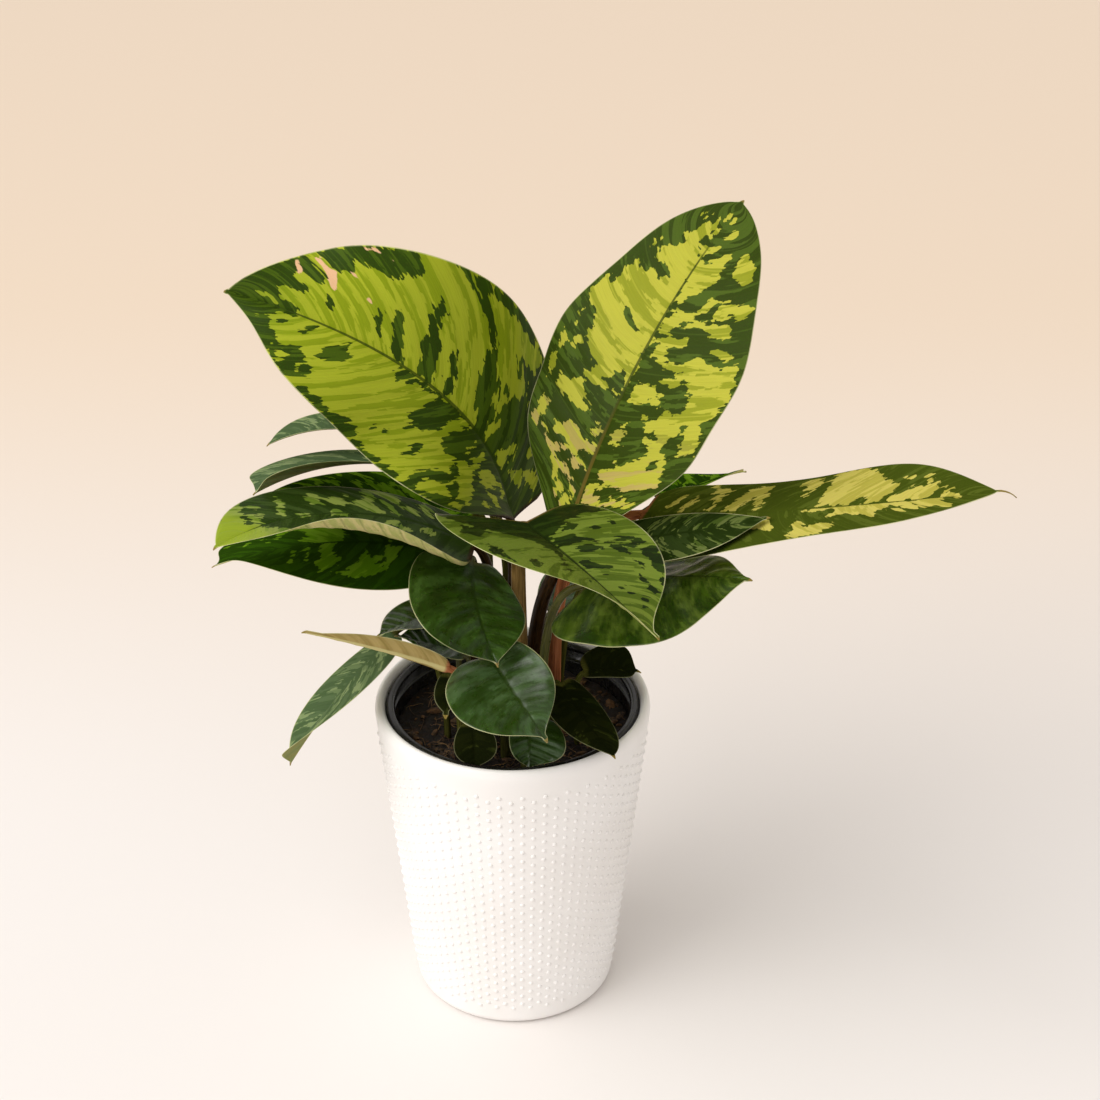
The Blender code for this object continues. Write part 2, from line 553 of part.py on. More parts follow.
def make_leaf(leaf, group, material):
    """Loft one leaf through its rings, with both faces split into triangles alike."""
    upper, lower = leaf_rows(leaf)
    rows, count = upper.shape[:2]
    points = np.concatenate([upper, lower], 1).reshape(-1, 3)

    def top(i, j):
        return i * 2 * count + j

    def bottom(i, j):
        return i * 2 * count + count + j

    faces = []
    for i in range(rows - 1):
        for j in range(count - 1):
            faces.append((top(i, j), top(i, j + 1), top(i + 1, j + 1)))
            faces.append((top(i, j), top(i + 1, j + 1), top(i + 1, j)))
            faces.append((bottom(i, j), bottom(i + 1, j + 1), bottom(i, j + 1)))
            faces.append((bottom(i, j), bottom(i + 1, j), bottom(i + 1, j + 1)))
        last = count - 1
        faces.append((top(i, 0), top(i + 1, 0), bottom(i + 1, 0), bottom(i, 0)))
        faces.append((top(i, last), bottom(i, last), bottom(i + 1, last), top(i + 1, last)))
    for j in range(count - 1):
        end = rows - 1
        faces.append((top(0, j), bottom(0, j), bottom(0, j + 1), top(0, j + 1)))
        faces.append((top(end, j), top(end, j + 1), bottom(end, j + 1), bottom(end, j)))

    mesh = bpy.data.meshes.new(leaf.name)
    mesh.from_pydata([tuple(p) for p in points], [], faces)
    mesh.validate()
    form = bmesh.new()
    form.from_mesh(mesh)
    bmesh.ops.triangulate(form, faces=form.faces)
    bmesh.ops.recalc_face_normals(form, faces=form.faces)
    form.to_mesh(mesh)
    form.free()
    mesh.shade_smooth()
    return place(leaf.name, mesh, group, material)


def leaf_material(leaf):
    """The green of each kind of leaf."""
    if leaf.name in ("leaf_tall_left", "leaf_tall_right", "leaf_long_right"):
        colour = (0.22, 0.30, 0.035)
    elif leaf.name == "leaf_unfurling":
        colour = (0.42, 0.33, 0.15)
    elif leaf.length > LARGE_LEAF:
        colour = (0.09, 0.17, 0.025)
    else:
        colour = (0.035, 0.10, 0.025)
    return new_material(leaf.name + "_skin", colour, 0.35)


def main():
    clear_scene()
    group = new_collection("potted_homalomena")
    cutters = {"drains": new_collection("drain_cutters"), "holes": new_collection("hole_cutters")}
    make_ceramic_pot(group)
    make_nursery_pot(group, cutters)
    make_soil(group, cutters)
    for leaf in LEAVES:
        make_leaf(leaf, group, leaf_material(leaf))


main()
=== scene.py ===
"""The looks of the potted homalomena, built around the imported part.

Every leaf is made again from the part's own rows and formulas, much finer, with veins, a grooved
midrib, a drawn-out tip and its markings. The pots and the soil get their real surface.
"""

from dataclasses import dataclass
from math import cos, log, pi, radians, sin

import bmesh
import bpy
import numpy as np
from mathutils import Matrix, Vector, noise


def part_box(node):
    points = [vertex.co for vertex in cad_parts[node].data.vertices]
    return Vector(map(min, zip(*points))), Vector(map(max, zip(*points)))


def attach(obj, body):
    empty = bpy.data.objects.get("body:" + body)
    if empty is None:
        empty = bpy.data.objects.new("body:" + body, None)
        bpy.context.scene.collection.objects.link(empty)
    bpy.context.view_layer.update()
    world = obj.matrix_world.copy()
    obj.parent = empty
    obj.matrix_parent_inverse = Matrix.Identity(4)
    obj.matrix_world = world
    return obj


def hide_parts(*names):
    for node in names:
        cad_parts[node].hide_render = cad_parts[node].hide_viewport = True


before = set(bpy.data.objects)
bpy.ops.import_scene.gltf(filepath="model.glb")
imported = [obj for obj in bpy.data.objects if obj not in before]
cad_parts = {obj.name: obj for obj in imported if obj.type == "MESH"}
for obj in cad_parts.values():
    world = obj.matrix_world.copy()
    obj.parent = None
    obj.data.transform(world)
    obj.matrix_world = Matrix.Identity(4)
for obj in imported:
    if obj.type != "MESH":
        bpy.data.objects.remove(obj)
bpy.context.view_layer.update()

# The part's own sizes, as its source has them
POT_HEIGHT = 0.158
POT_TOP_RADIUS = 0.065
POT_BASE_RADIUS = 0.048
POT_WALL = 0.0047
POT_FLOOR = 0.006
SOIL_TOP = 0.142
STALK_DEPTH = 0.010
GAP = 0.0003
STALK_JOIN = 0.012
STALK_FLAT = 0.6
STALK_SPREAD = radians(80)
WAVE_SHIFT = 2.1
LARGE_LEAF = 0.09
POT_LIP_ROUND = 0.0045
POT_FOOT_ROUND = 0.005
POT_FLOOR_ROUND = 0.004
NURSERY_WALL = 0.0014
NURSERY_BAND = 0.008
NURSERY_BAND_STEP = 0.0018
NURSERY_BASE_RADIUS = 0.043

# Sizes of what is only in the looks
SHEATH = 1.22            # how much wider the sheath makes the stalk of a large leaf
MIDRIB_POINTS = 241
STALK_POINTS = 61
STALK_STEP = 3           # how many of these points lie from one ring of the stalk to the next
TAIL_WIDTH = 0.0014
TAIL_END = 0.0003
TAIL_ROWS = 5
SKIN = 0.00038           # thickness of a blade
MARGIN_SKIN = 0.00016    # the same at its margin
KEEL_WIDTH = 0.0017
GROOVE = 0.00045
GROOVE_WIDTH = 0.0010
QUILT = 0.00042          # height of the skin between two side veins
QUILT_GLOSSY = 2.1       # how much higher it is on shiny leaves
QUILT_SMALL = 0.7        # the same on small leaves
SWAY = 0.0009            # height of the skin's slower unevenness
SWAY_PITCH = 38          # its swells to the metre
GLOSSY_SWAY = 0.0030     # the same on shiny leaves
GLOSSY_SWAY_PITCH = 62
VEIN_SPACE = 0.0105      # distance between side veins on a large leaf
SMALL_VEINS = 7          # side veins on each half of a small leaf
VEIN_LEAN = 0.10         # forward bow of the side veins, as a share of the leaf's length
CELL = 0.0013            # mesh step of a large blade
SMALL_COLUMNS = 16       # mesh columns on each half of a small blade
SMALL_STATIONS = 44      # mesh rows of a small blade
FIELD_REACH = 0.6        # how far from a marking's outline its distance is kept, in cm
FAR_FROM_EDGE = 5.0      # distance from the margin that a stalk is given, in mm


@dataclass
class Leaf:
    """One leaf, as in the part, and its looks. Lengths are metres and angles are degrees."""

    name: str
    foot: tuple
    base: tuple
    heading: float
    rise: float
    length: float
    widths: tuple
    turn: float = 0.0
    droop: float = 0.0
    roll: float = 0.0
    twist: float = 0.0
    fold: tuple = (12, 12)
    fold_tip: tuple = None
    curl: tuple = (0, 0)
    curl_tip: tuple = None
    widest: float = 0.42
    base_round: float = 0.5
    tip_round: float = 0.95
    sweep: float = 0.3
    lobe: float = 0.6
    hip: float = 0.0
    wave: float = 0.0
    waves: float = 2.0
    phase: float = 0.0
    stalk: tuple = (0.0030, 0.0020)
    lift: float = 0.5
    reach: float = 0.35
    look: str = "plain"
    stem: str = "olive"
    tail: float = 0.002          # length of the drawn-out tip
    tail_bend: float = 20.0      # how far it bends down

    def __post_init__(self):
        self.fold_tip = self.fold_tip or self.fold
        self.curl_tip = self.curl_tip or self.curl


THIN = (0.0021, 0.0014)
MIDDLING = (0.0026, 0.0018)

LEAVES = [
    Leaf("leaf_tall_left", foot=(0.000, 0.012), base=(-0.0006, 0.029, 0.2358), heading=228,
         turn=-82, rise=82, droop=84, length=0.1905, widths=(0.0483, 0.0533), roll=-81, twist=23,
         fold=(16, -4), fold_tip=(48, 22), widest=0.26, base_round=0.62, tip_round=0.87, sweep=0.68,
         lobe=-0.2, hip=0.9, wave=0.0078, waves=2.0, phase=0.1, stalk=(0.0034, 0.0024), look="lime",
         stem="brown"),
    Leaf("leaf_tall_right", foot=(0.0078, 0.001), base=(0.0225, -0.0035, 0.2345), heading=37,
         turn=7, rise=72, droop=38, length=0.181, widths=(0.045, 0.055), roll=-7, twist=13,
         fold=(17, 1), fold_tip=(15, -10), widest=0.43, base_round=0.74, tip_round=0.62, sweep=0.0,
         lobe=-0.62, wave=0.0016, waves=3.0, phase=3.7, stalk=(0.0036, 0.0026), lift=0.8,
         reach=0.15, look="lemon", stem="brown"),
    Leaf("leaf_long_right", foot=(0.0175, 0.007), base=(0.0605, 0.012, 0.248), heading=-30, turn=16,
         rise=15, length=0.1635, widths=(0.049, 0.035), roll=6, twist=-33, fold=(-9, -20),
         fold_tip=(22, -7), widest=0.39, base_round=0.3, tip_round=0.77, sweep=0.19, lobe=0.52,
         wave=0.004, waves=1.0, phase=3.2, stalk=(0.0036, 0.0024), lift=0.7, look="cream",
         stem="pink", tail=0.009, tail_bend=60),
    Leaf("leaf_short_right", foot=(0.0200, -0.001), base=(0.0375, -0.018, 0.2495), heading=-7,
         rise=9, droop=-8, length=0.0765, widths=(0.013, 0.0215), roll=8, twist=-3, fold=(11, 1),
         fold_tip=(1, 6), widest=0.4, tip_round=0.85, stalk=MIDDLING, lift=0.95, reach=0.12,
         look="shade", stem="pink"),
    Leaf("leaf_back_right", foot=(0.022, 0.024), base=(0.0705, 0.050, 0.235), heading=33, turn=12,
         rise=10, droop=24, length=0.053, widths=(0.019, 0.015), roll=-12, twist=-14, fold=(14, 12),
         fold_tip=(1, 12), tip_round=1.0, stalk=THIN, look="deep"),
    Leaf("leaf_front_arching", foot=(0.0045, -0.01), base=(0.007, -0.020, 0.2595), heading=-70,
         turn=15, rise=14, droop=24, length=0.116, widths=(0.036, 0.050), roll=-15, twist=20,
         fold=(25, -4), fold_tip=(-8, 62), widest=0.28, base_round=0.47, tip_round=1.1, sweep=0.59,
         lobe=1.17, stalk=(0.0034, 0.0024), reach=0.17, look="fresh", stem="tan"),
    Leaf("leaf_left_upper", foot=(-0.007, -0.001), base=(-0.016, -0.006, 0.2415), heading=174,
         turn=56, rise=28, droop=34, length=0.1265, widths=(0.0565, 0.026), roll=-13, twist=31,
         fold=(-8, -15), fold_tip=(6, 31), curl=(65, 0), curl_tip=(0, 0), widest=0.43,
         base_round=0.3, tip_round=0.7, sweep=0.5, lobe=0.5, reach=0.12, look="forest",
         stem="brown"),
    Leaf("leaf_left_lower", foot=(-0.015, -0.004), base=(-0.0275, 0.0, 0.2347), heading=173,
         turn=33, rise=11, droop=19, length=0.1072, widths=(0.0424, 0.047), roll=9, twist=29,
         fold=(-36, 12), fold_tip=(-4, 16), widest=0.5, base_round=0.45, tip_round=0.88, sweep=0.53,
         lobe=0.7, reach=0.1, look="deep", stem="brown"),
    Leaf("leaf_left_behind", foot=(-0.012, 0.016), base=(-0.0165, 0.029, 0.2395), heading=180,
         turn=11, rise=11, droop=9, length=0.1005, widths=(0.028, 0.030), roll=7, twist=11,
         fold=(0, 11), fold_tip=(0, 13), widest=0.38, tip_round=0.73, sweep=0.35, lobe=0.3,
         reach=0.1, look="deep"),
    Leaf("leaf_back_left_high", foot=(-0.004, 0.040), base=(-0.0445, 0.047, 0.2645), heading=174,
         turn=11, rise=28, droop=54, length=0.0705, widths=(0.012, 0.0155), roll=9, fold=(14, 3),
         fold_tip=(16, 24), tip_round=0.6, reach=0.45, stalk=THIN, look="grey"),
    Leaf("leaf_back_left_low", foot=(-0.008, 0.033), base=(-0.0365, 0.032, 0.26), heading=182,
         turn=26, rise=18, droop=37, length=0.0833, widths=(0.024, 0.0275), roll=13, twist=20,
         fold=(4, 6), fold_tip=(12, 26), widest=0.58, base_round=0.5, tip_round=0.6, sweep=0.68,
         lobe=0.62, stalk=THIN, reach=0.45, look="grey"),
    Leaf("leaf_front_drooping", foot=(-0.012, -0.020), base=(-0.0175, -0.016, 0.238), heading=-89,
         turn=30, rise=-25, droop=14, length=0.051, widths=(0.022, 0.033), roll=-19, twist=9,
         fold=(-15, -3), fold_tip=(24, 23), widest=0.4, base_round=0.44, tip_round=0.75,
         sweep=0.27, lobe=0.7, stalk=MIDDLING, lift=0.8, reach=0.15),
    Leaf("leaf_front_heart", foot=(-0.003, -0.026), base=(-0.008, -0.0405, 0.203), heading=-74,
         turn=37, rise=1, droop=49, length=0.0485, widths=(0.019, 0.0285), roll=23, twist=-19,
         fold=(19, 4), fold_tip=(16, 10), widest=0.43, base_round=0.63, tip_round=1.15, sweep=0.16,
         lobe=1.08, stalk=MIDDLING, reach=0.2, look="bluish"),
    Leaf("leaf_unfurling", foot=(-0.016, -0.027), base=(-0.0275, -0.034, 0.194), heading=180,
         turn=-4, rise=20, droop=10, length=0.066, widths=(0.0065, 0.0065), roll=75, fold=(0, 0),
         curl=(40, 40), fold_tip=(35, 35), curl_tip=(50, 50), widest=0.3, tip_round=1.0, sweep=0.1,
         lobe=0.0, stalk=MIDDLING, reach=0.25, look="rolled", stem="pink"),
    Leaf("leaf_hanging_left", foot=(-0.030, -0.009), base=(-0.0535, -0.001, 0.193), heading=214,
         turn=-10, rise=-32, droop=24, length=0.0775, widths=(0.0265, 0.013), roll=7, twist=8,
         fold=(-2, 0), fold_tip=(44, 38), widest=0.52, base_round=0.47, tip_round=0.6, sweep=0.47,
         lobe=0.72, stalk=THIN, look="grey"),
    Leaf("leaf_small_left_high", foot=(-0.024, -0.002), base=(-0.035, -0.003, 0.2045), heading=203,
         rise=-2, droop=17, length=0.028, widths=(0.015, 0.015), twist=19, fold=(4, 16),
         fold_tip=(14, 1), widest=0.37, tip_round=0.86, stalk=THIN, reach=0.2, look="bluish"),
    Leaf("leaf_small_left_low", foot=(-0.021, -0.016), base=(-0.022, -0.015, 0.1905), heading=180,
         rise=21, droop=9, length=0.0305, widths=(0.014, 0.014), twist=5, fold=(6, 12),
         fold_tip=(19, 12), stalk=THIN, reach=0.15),
    Leaf("leaf_right_broad", foot=(0.0125, -0.0135), base=(0.037, -0.014, 0.227), heading=-29,
         turn=6, rise=24, droop=18, length=0.0765, widths=(0.028, 0.042), roll=4, twist=3,
         fold=(-18, -20), fold_tip=(-6, -6), widest=0.38, base_round=0.47, tip_round=1.0, lobe=1.25,
         stalk=(0.003, 0.0022), lift=0.93, reach=0.2, look="broad"),
    Leaf("leaf_small_right", foot=(0.030, -0.014), base=(0.0335, -0.010, 0.177), heading=6,
         turn=-6, rise=14, droop=30, length=0.0245, widths=(0.0165, 0.0155), fold=(13, 17),
         stalk=THIN, reach=0.2, look="dusk"),
    Leaf("leaf_low_right", foot=(0.018, -0.025), base=(0.022, -0.025, 0.1795), heading=-59,
         rise=-18, droop=-6, length=0.047, widths=(0.014, 0.0185), roll=-11, twist=-11,
         fold=(4, 4), fold_tip=(-7, 5), base_round=0.39, tip_round=0.68, lobe=0.9, stalk=THIN,
         reach=0.3, look="dusk"),
    Leaf("leaf_low_front", foot=(0.006, -0.036), base=(0.008, -0.034, 0.1665), heading=-89,
         rise=-15, droop=40, length=0.023, widths=(0.0165, 0.010), roll=-12, tip_round=0.7,
         stalk=THIN, reach=0.35, look="bluish"),
    Leaf("leaf_low_front_left", foot=(-0.021, -0.036), base=(-0.0175, -0.036, 0.166), heading=-85,
         rise=-30, droop=30, length=0.021, widths=(0.0105, 0.0095), lobe=0.4, stalk=THIN, reach=0.4,
         look="dusk"),
    Leaf("leaf_low_left", foot=(-0.023, -0.024), base=(-0.0285, -0.022, 0.1835), heading=-95,
         rise=-35, droop=20, length=0.019, widths=(0.005, 0.006), stalk=THIN, reach=0.3,
         look="dusk"),
    Leaf("leaf_low_back_left", foot=(-0.014, 0.037), base=(-0.020, 0.046, 0.180), heading=115,
         rise=20, droop=50, length=0.048, widths=(0.014, 0.014), stalk=THIN, reach=0.25),
    Leaf("leaf_low_back_right", foot=(0.008, 0.034), base=(0.018, 0.044, 0.178), heading=62,
         rise=22, droop=50, length=0.046, widths=(0.014, 0.014), stalk=THIN, reach=0.25),
]

# Markings of the three leaves with the boldest pattern and the three next to them. Points are
# percent along the midrib, and percent from the midrib to the left (-100) or right (100) margin.
# Shapes are laid over each other in order; "dark", "light" and "scar" say what each one is.
MARKINGS = {
    "leaf_tall_left": ("light", [
        ("dark", [(0, -100), (22, -100), (24, -88), (23, -70), (20, -60), (21.5, -45), (24, -42),
                  (26, -43), (29, -40), (31, -25), (30, -2), (30, 10), (32, 10), (33, 38), (31, 58),
                  (29.5, 60), (28, 45), (24.5, 45), (22, 45), (20, 52), (18, 60), (20, 66),
                  (22, 72), (23, 76), (20, 76), (18, 80), (17, 90), (17, 100), (0, 100)]),
        ("light", [(7.5, -78), (12, -78), (14, -65), (17, -58), (19, -50), (21.5, -42), (21, -28),
                   (17.5, -38), (13, -47), (11, -55), (8, -70)]),
        ("light", [(15.5, -42), (18, -38), (21, -20), (21, -10), (19.5, -12), (16.5, -34)]),
        ("light", [(10, -35), (15, -33), (16.5, -25), (15.5, -15), (13, -10), (9, -5), (10, -18)]),
        ("light", [(3, -42), (5, -38), (8.5, -35), (8, -27), (6, -25), (3.5, -30)]),
        ("light", [(13, -82), (16, -87), (17, -95), (20, -96), (21, -88), (20, -80), (17.5, -73),
                   (17, -60), (15.5, -75)]),
        ("light", [(7, -95), (11, -93), (11, -86), (8, -84)]),
        ("light", [(22.5, -30), (24, -22), (25.5, -9), (24, -14)]),
        ("light", [(3, -62), (5.5, -60), (6.5, -52), (4, -52)]),
        ("light", [(6, -15), (9, -12), (12, -6), (8, -5)]),
        ("light", [(2, 60), (4, 42), (6, 33), (8, 30), (7, 40), (5.5, 50), (3.5, 66)]),
        ("light", [(4, 95), (6, 80), (8, 70), (10, 64), (9.5, 72), (8, 82), (6, 96)]),
        ("light", [(5, 24), (7, 18), (12, 7), (12.3, 10), (10, 18), (8.5, 30)]),
        ("light", [(8.5, 45), (10, 40), (10, 48), (8.5, 52)]),
        ("light", [(14.5, 5), (17, 3), (19.5, 3), (18, 12), (16, 20), (14, 32), (13, 32),
                   (13.5, 22), (15, 18)]),
        ("light", [(24, 4), (26, 4), (25, 15), (23.5, 22), (21.5, 25), (23.5, 10)]),
        ("light", [(23.5, 30), (25, 22), (25, 33), (24, 43), (22.5, 43)]),
        ("light", [(26.5, 25), (27.2, 30), (26, 42), (25, 42)]),
        ("light", [(12, 66), (14, 61), (17, 57), (16, 64), (13.5, 70), (12, 75), (11.5, 72)]),
        ("light", [(18.5, 56), (20, 53), (22, 62), (20, 67), (18.5, 64)]),
        ("light", [(12, 85), (13.5, 80), (13.5, 86), (12.5, 92)]),
        ("dark", [(33, -35), (34.5, -45), (36.5, -46), (37, -55), (38, -48), (40, -45), (41, -38),
                  (41, -20), (42, -8), (43, -2), (33.5, -2), (34, -15), (33, -25)]),
        ("dark", [(22, -100), (26, -92), (32, -92), (36, -95), (41, -93), (43, -86), (46, -85),
                  (50, -91), (55, -90), (62, -93), (62, -100)]),
        ("dark", [(28, -72), (30.5, -78), (31, -68), (32, -58), (30.5, -55), (28.5, -63)]),
        ("dark", [(38.5, -70), (42, -77), (42, -73), (40, -70), (39, -65)]),
        ("dark", [(62, -82), (63, -90), (66, -100), (74, -100), (76, -85), (77, -75), (75, -78),
                  (73, -70), (73, -65), (71, -60), (69, -62), (66, -70), (64, -70), (63, -76)]),
        ("light", [(70, -95), (71, -92), (73.5, -88), (73, -80), (71, -75), (70, -82)]),
        ("light", [(65, -86), (66.5, -84), (67.5, -76), (65.5, -76)]),
        ("dark", [(62, -30), (63, -40), (64.5, -47), (66.5, -58), (67.5, -47), (68.5, -28),
                  (66.5, -20), (65.5, -11), (64, -20), (62.5, -25)]),
        ("dark", [(73.5, -35), (74, -42), (75.5, -42), (76, -38), (75, -28), (76.5, -22),
                  (75.5, -10), (74.5, -8), (73.5, -20), (74.5, -27)]),
        ("dark", [(80, -40), (81, -46), (82, -38), (82, -28), (81, -25)]),
        ("dark", [(74, -100), (77, -75), (79, -68), (80, -74), (82, -62), (83, -50), (85, -40),
                  (84, -30), (85, -18), (84, -12), (82, -14), (80, -20), (79.5, -8), (81, 3),
                  (80, 12), (82, 22), (85, 22), (84, 40), (83, 56), (80, 48), (77, 43), (76, 50),
                  (78, 60), (79, 72), (77, 78), (76, 72), (73, 60), (71.5, 57), (71, 65),
                  (72, 75), (74, 88), (74, 100), (103, 100), (103, -100)]),
        ("light", [(85.5, 14), (86.5, 8), (87.5, 22), (89.5, 28), (90, 40), (88.5, 38), (87, 26),
                   (86, 30)]),
        ("light", [(86, -64), (87.3, -76), (88, -68), (87, -58), (86, -58)]),
        ("light", [(83, -50), (84.5, -45), (85.5, -52), (85.5, -45), (83.5, -40)]),
        ("light", [(85, -36), (86, -38), (86, -30), (85, -30)]),
        ("dark", [(43, -2), (43, -6), (45, -10), (47, -8), (49, -15), (50, -4), (50.5, -22),
                  (52, -17), (53.5, -12), (54, -2)]),
        ("dark", [(38.5, 22), (39.5, 2), (41.5, 2), (42, 12), (41, 20), (41, 35), (40, 37)]),
        ("dark", [(45.5, 2), (49.5, 2), (49.5, 18), (49, 28), (47.5, 38), (48, 45), (46.5, 50),
                  (46, 62), (44.5, 69), (43, 60), (44.5, 52), (44.3, 25)]),
        ("dark", [(53.8, 2), (56, 2), (57, 10), (56, 22), (56, 32), (55, 42), (54, 50), (53, 47),
                  (53, 38), (54, 20)]),
        ("dark", [(59, 24), (60, 14), (60.5, 24), (59.8, 40), (58.5, 48), (57.3, 42), (58, 34)]),
        ("dark", [(31, 58), (32.5, 68), (35, 78), (38, 92), (41, 100), (38, 100), (34, 90),
                  (32, 80), (30, 64)]),
        ("dark", [(16, 97), (22, 92), (33, 92), (40, 100), (16, 100)]),
        ("dark", [(47, 88), (49, 79), (51, 81), (53, 71), (55, 75), (58, 78), (60, 84), (62, 85),
                  (63.5, 72), (65, 73), (69, 77), (69.5, 88), (72.5, 100), (48, 100)]),
        ("dark", [(70.5, 40), (71, 25), (72, 30), (71.5, 40), (71, 46)]),
        ("dark", [(21, 60), (22.5, 64), (23.5, 72), (22.5, 75), (21.5, 68)]),
        ("scar", [(67.3, 74), (67.8, 66), (69, 50), (70, 54), (70.3, 66), (71, 80), (72.5, 92),
                  (71, 92), (69.5, 80), (68.3, 76)]),
        ("scar", [(76.5, 78), (77, 70), (78, 76), (77.6, 95), (77, 96)]),
        ("scar", [(60, 44), (61.5, 48), (61, 53), (60.3, 50)]),
        ("scar", [(62, 66), (64, 71), (64.5, 75), (63, 72)]),
        ("scar", [(53, 85), (54, 88), (53.5, 90)]),
        ("scar", [(55.5, 94), (60, 97), (57, 98)]),
        ("scar", [(77, 23), (78, 21), (78, 24)]),
    ]),
    "leaf_tall_right": ("dark", [
        ("light", [(10, -50), (12, -53), (14, -45), (15.5, -35), (15, -27), (13, -38), (11, -45)]),
        ("light", [(10, -35), (12, -36), (13, -28), (14, -15), (13, -12), (12, -22), (10.5, -28)]),
        ("light", [(14, -56), (17, -55), (20, -62), (22, -68), (22.5, -60), (24, -50), (24.5, -38),
                   (23, -40), (21, -50), (19.5, -55), (19, -45), (20.5, -32), (20, -25),
                   (18.5, -25), (19, -12), (18, -15), (17.5, -30), (18, -42), (16, -48)]),
        ("light", [(20.5, -22), (21.5, -33), (23, -28), (25, -35), (26, -45), (25.8, -60),
                   (28, -64), (28.5, -52), (30.5, -48), (30.5, -38), (29, -20), (29.5, -4),
                   (27, -2), (27, -15), (26, -22), (24, -22), (24, -5), (22.3, -3), (22, -15)]),
        ("light", [(31, -2), (31.5, -15), (33, -14), (34, -10), (33.5, -2)]),
        ("light", [(34, -35), (35.5, -48), (35.5, -60), (37, -75), (41, -78), (40.5, -62),
                   (42, -52), (42, -45), (39, -40), (37, -32), (36, -26), (34.5, -30)]),
        ("light", [(37.5, -90), (40, -93), (44, -94), (43.5, -88), (39.5, -82)]),
        ("light", [(23, -88), (25, -93), (29, -90), (32, -86), (32, -75), (29, -76), (27, -83),
                   (24, -84)]),
        ("light", [(23.3, -72), (25, -77), (25, -70), (24, -67)]),
        ("light", [(15, -22), (16.5, -18), (16.5, -8), (15.5, -10)]),
        ("light", [(42, -2), (42.5, -20), (42.5, -45), (44, -52), (45, -42), (47, -42), (49, -52),
                   (50, -58), (52, -66), (54, -66), (57, -70), (59, -74), (59, -82), (61, -92),
                   (64, -96), (68.5, -96), (69, -90), (66, -84), (68, -80), (72, -82), (74, -82),
                   (75, -78), (73, -70), (74, -60), (74, -35), (75, -24), (77, -35), (77, -60),
                   (79, -62), (80, -75), (80.5, -62), (82, -60), (82.5, -50), (84, -45),
                   (86, -62), (87, -48), (90, -45), (92, -40), (92, -28), (94, -30), (93.5, -20),
                   (91, -10), (89, -15), (86, -22), (85, -12), (83, -6), (74, -1), (60, 2),
                   (50, 2)]),
        ("dark", [(41.5, -2), (41.5, -25), (43, -12), (44.5, -28), (45.5, -18), (47.3, -19),
                  (48, -8), (47, -2)]),
        ("dark", [(58.8, -18), (59, -30), (60, -42), (62, -44), (63, -43), (62, -36),
                  (60.5, -28), (59.5, -16)]),
        ("dark", [(72.5, -36), (74, -48), (74.5, -65), (75, -70), (77.5, -70), (77.5, -60),
                  (76.5, -45), (76.5, -32), (75.5, -24), (74, -32)]),
        ("dark", [(54, -72), (55, -80), (57, -78), (56.5, -70), (55, -66)]),
        ("light", [(45, -88), (49, -92), (51.5, -88), (50, -84), (47, -82)]),
        ("light", [(48, -74), (50, -80), (51.5, -72), (50.5, -65), (49.5, -62)]),
        ("light", [(53, -82), (56, -86), (56, -82), (54, -79)]),
        ("light", [(57, -86), (59, -88), (59, -83), (57.5, -81)]),
        ("light", [(79, -80), (81.5, -86), (82, -78), (80, -73)]),
        ("light", [(92, -75), (94, -78), (93, -68), (91.5, -66)]),
        ("light", [(91.5, -55), (93, -58), (93, -52)]),
        ("light", [(93.5, -52), (94.3, -45), (94.2, -54)]),
        ("light", [(88, -10), (89, -16), (91, -8), (91.5, -1), (89.5, -2)]),
        ("light", [(93.5, -10), (95.5, -12), (96, 0), (95, 2)]),
        ("light", [(13.5, 95), (13.8, 70), (14, 8), (17, 6), (20, 6), (20, 20), (19.5, 28),
                   (18, 28), (17, 20), (16, 30), (15, 34), (15.2, 50), (17, 48), (16, 58),
                   (15.5, 66), (17.5, 62), (16.5, 76), (15, 92)]),
        ("light", [(20, 22), (22, 12), (24.3, 14), (24.5, 34), (26, 25), (27, 21), (27.5, 28),
                   (26, 33), (26.5, 40), (28.5, 48), (30, 50), (31, 56), (33.5, 45), (35, 38),
                   (37, 42), (39, 30), (40, 30), (40.5, 45), (42, 50), (44, 42), (43.5, 55),
                   (45, 62), (48, 64), (51, 58), (52, 52), (54.5, 45), (56, 42), (58, 48),
                   (59, 56), (58.5, 78), (61, 85), (62, 92), (58, 94), (54, 96), (50, 97),
                   (46, 92), (44, 88), (42, 90), (38, 94), (35, 96), (33.5, 88), (33, 80),
                   (36, 80), (38.5, 78), (38, 70), (36, 62), (34, 62), (33, 70), (31, 75),
                   (28, 80), (26, 82), (24, 88), (21, 92), (22, 82), (20, 76), (19.5, 62),
                   (20, 52)]),
        ("dark", [(35, 47), (36, 43), (37.5, 45), (37, 52), (36, 54), (35, 51)]),
        ("dark", [(27, 64), (29, 62), (30, 66), (29, 71), (27.5, 70)]),
        ("dark", [(39.8, 73), (41, 70), (41.5, 75), (40.3, 77)]),
        ("light", [(42, 9), (47, 8), (47.8, 12), (47.5, 25), (47, 33), (44.5, 40), (43, 38),
                   (44.3, 30), (43.5, 25), (42.5, 20)]),
        ("light", [(30.5, 10), (34.5, 9), (35, 15), (34.5, 25), (33, 22), (32, 18), (31.5, 29),
                   (30.5, 22)]),
        ("light", [(36, 12), (37, 14), (37.3, 22), (36.5, 24)]),
        ("light", [(50, 28), (51, 32), (52.5, 42), (53.7, 44), (53.3, 30), (54, 12), (55, 15),
                   (55, 38), (57, 45), (54, 52), (51, 48), (49, 42), (50, 40)]),
        ("light", [(54, 8), (60, 6), (61, 15), (62, 25), (62, 35), (60.5, 37), (59.5, 30),
                   (58, 22), (57, 24), (56, 18)]),
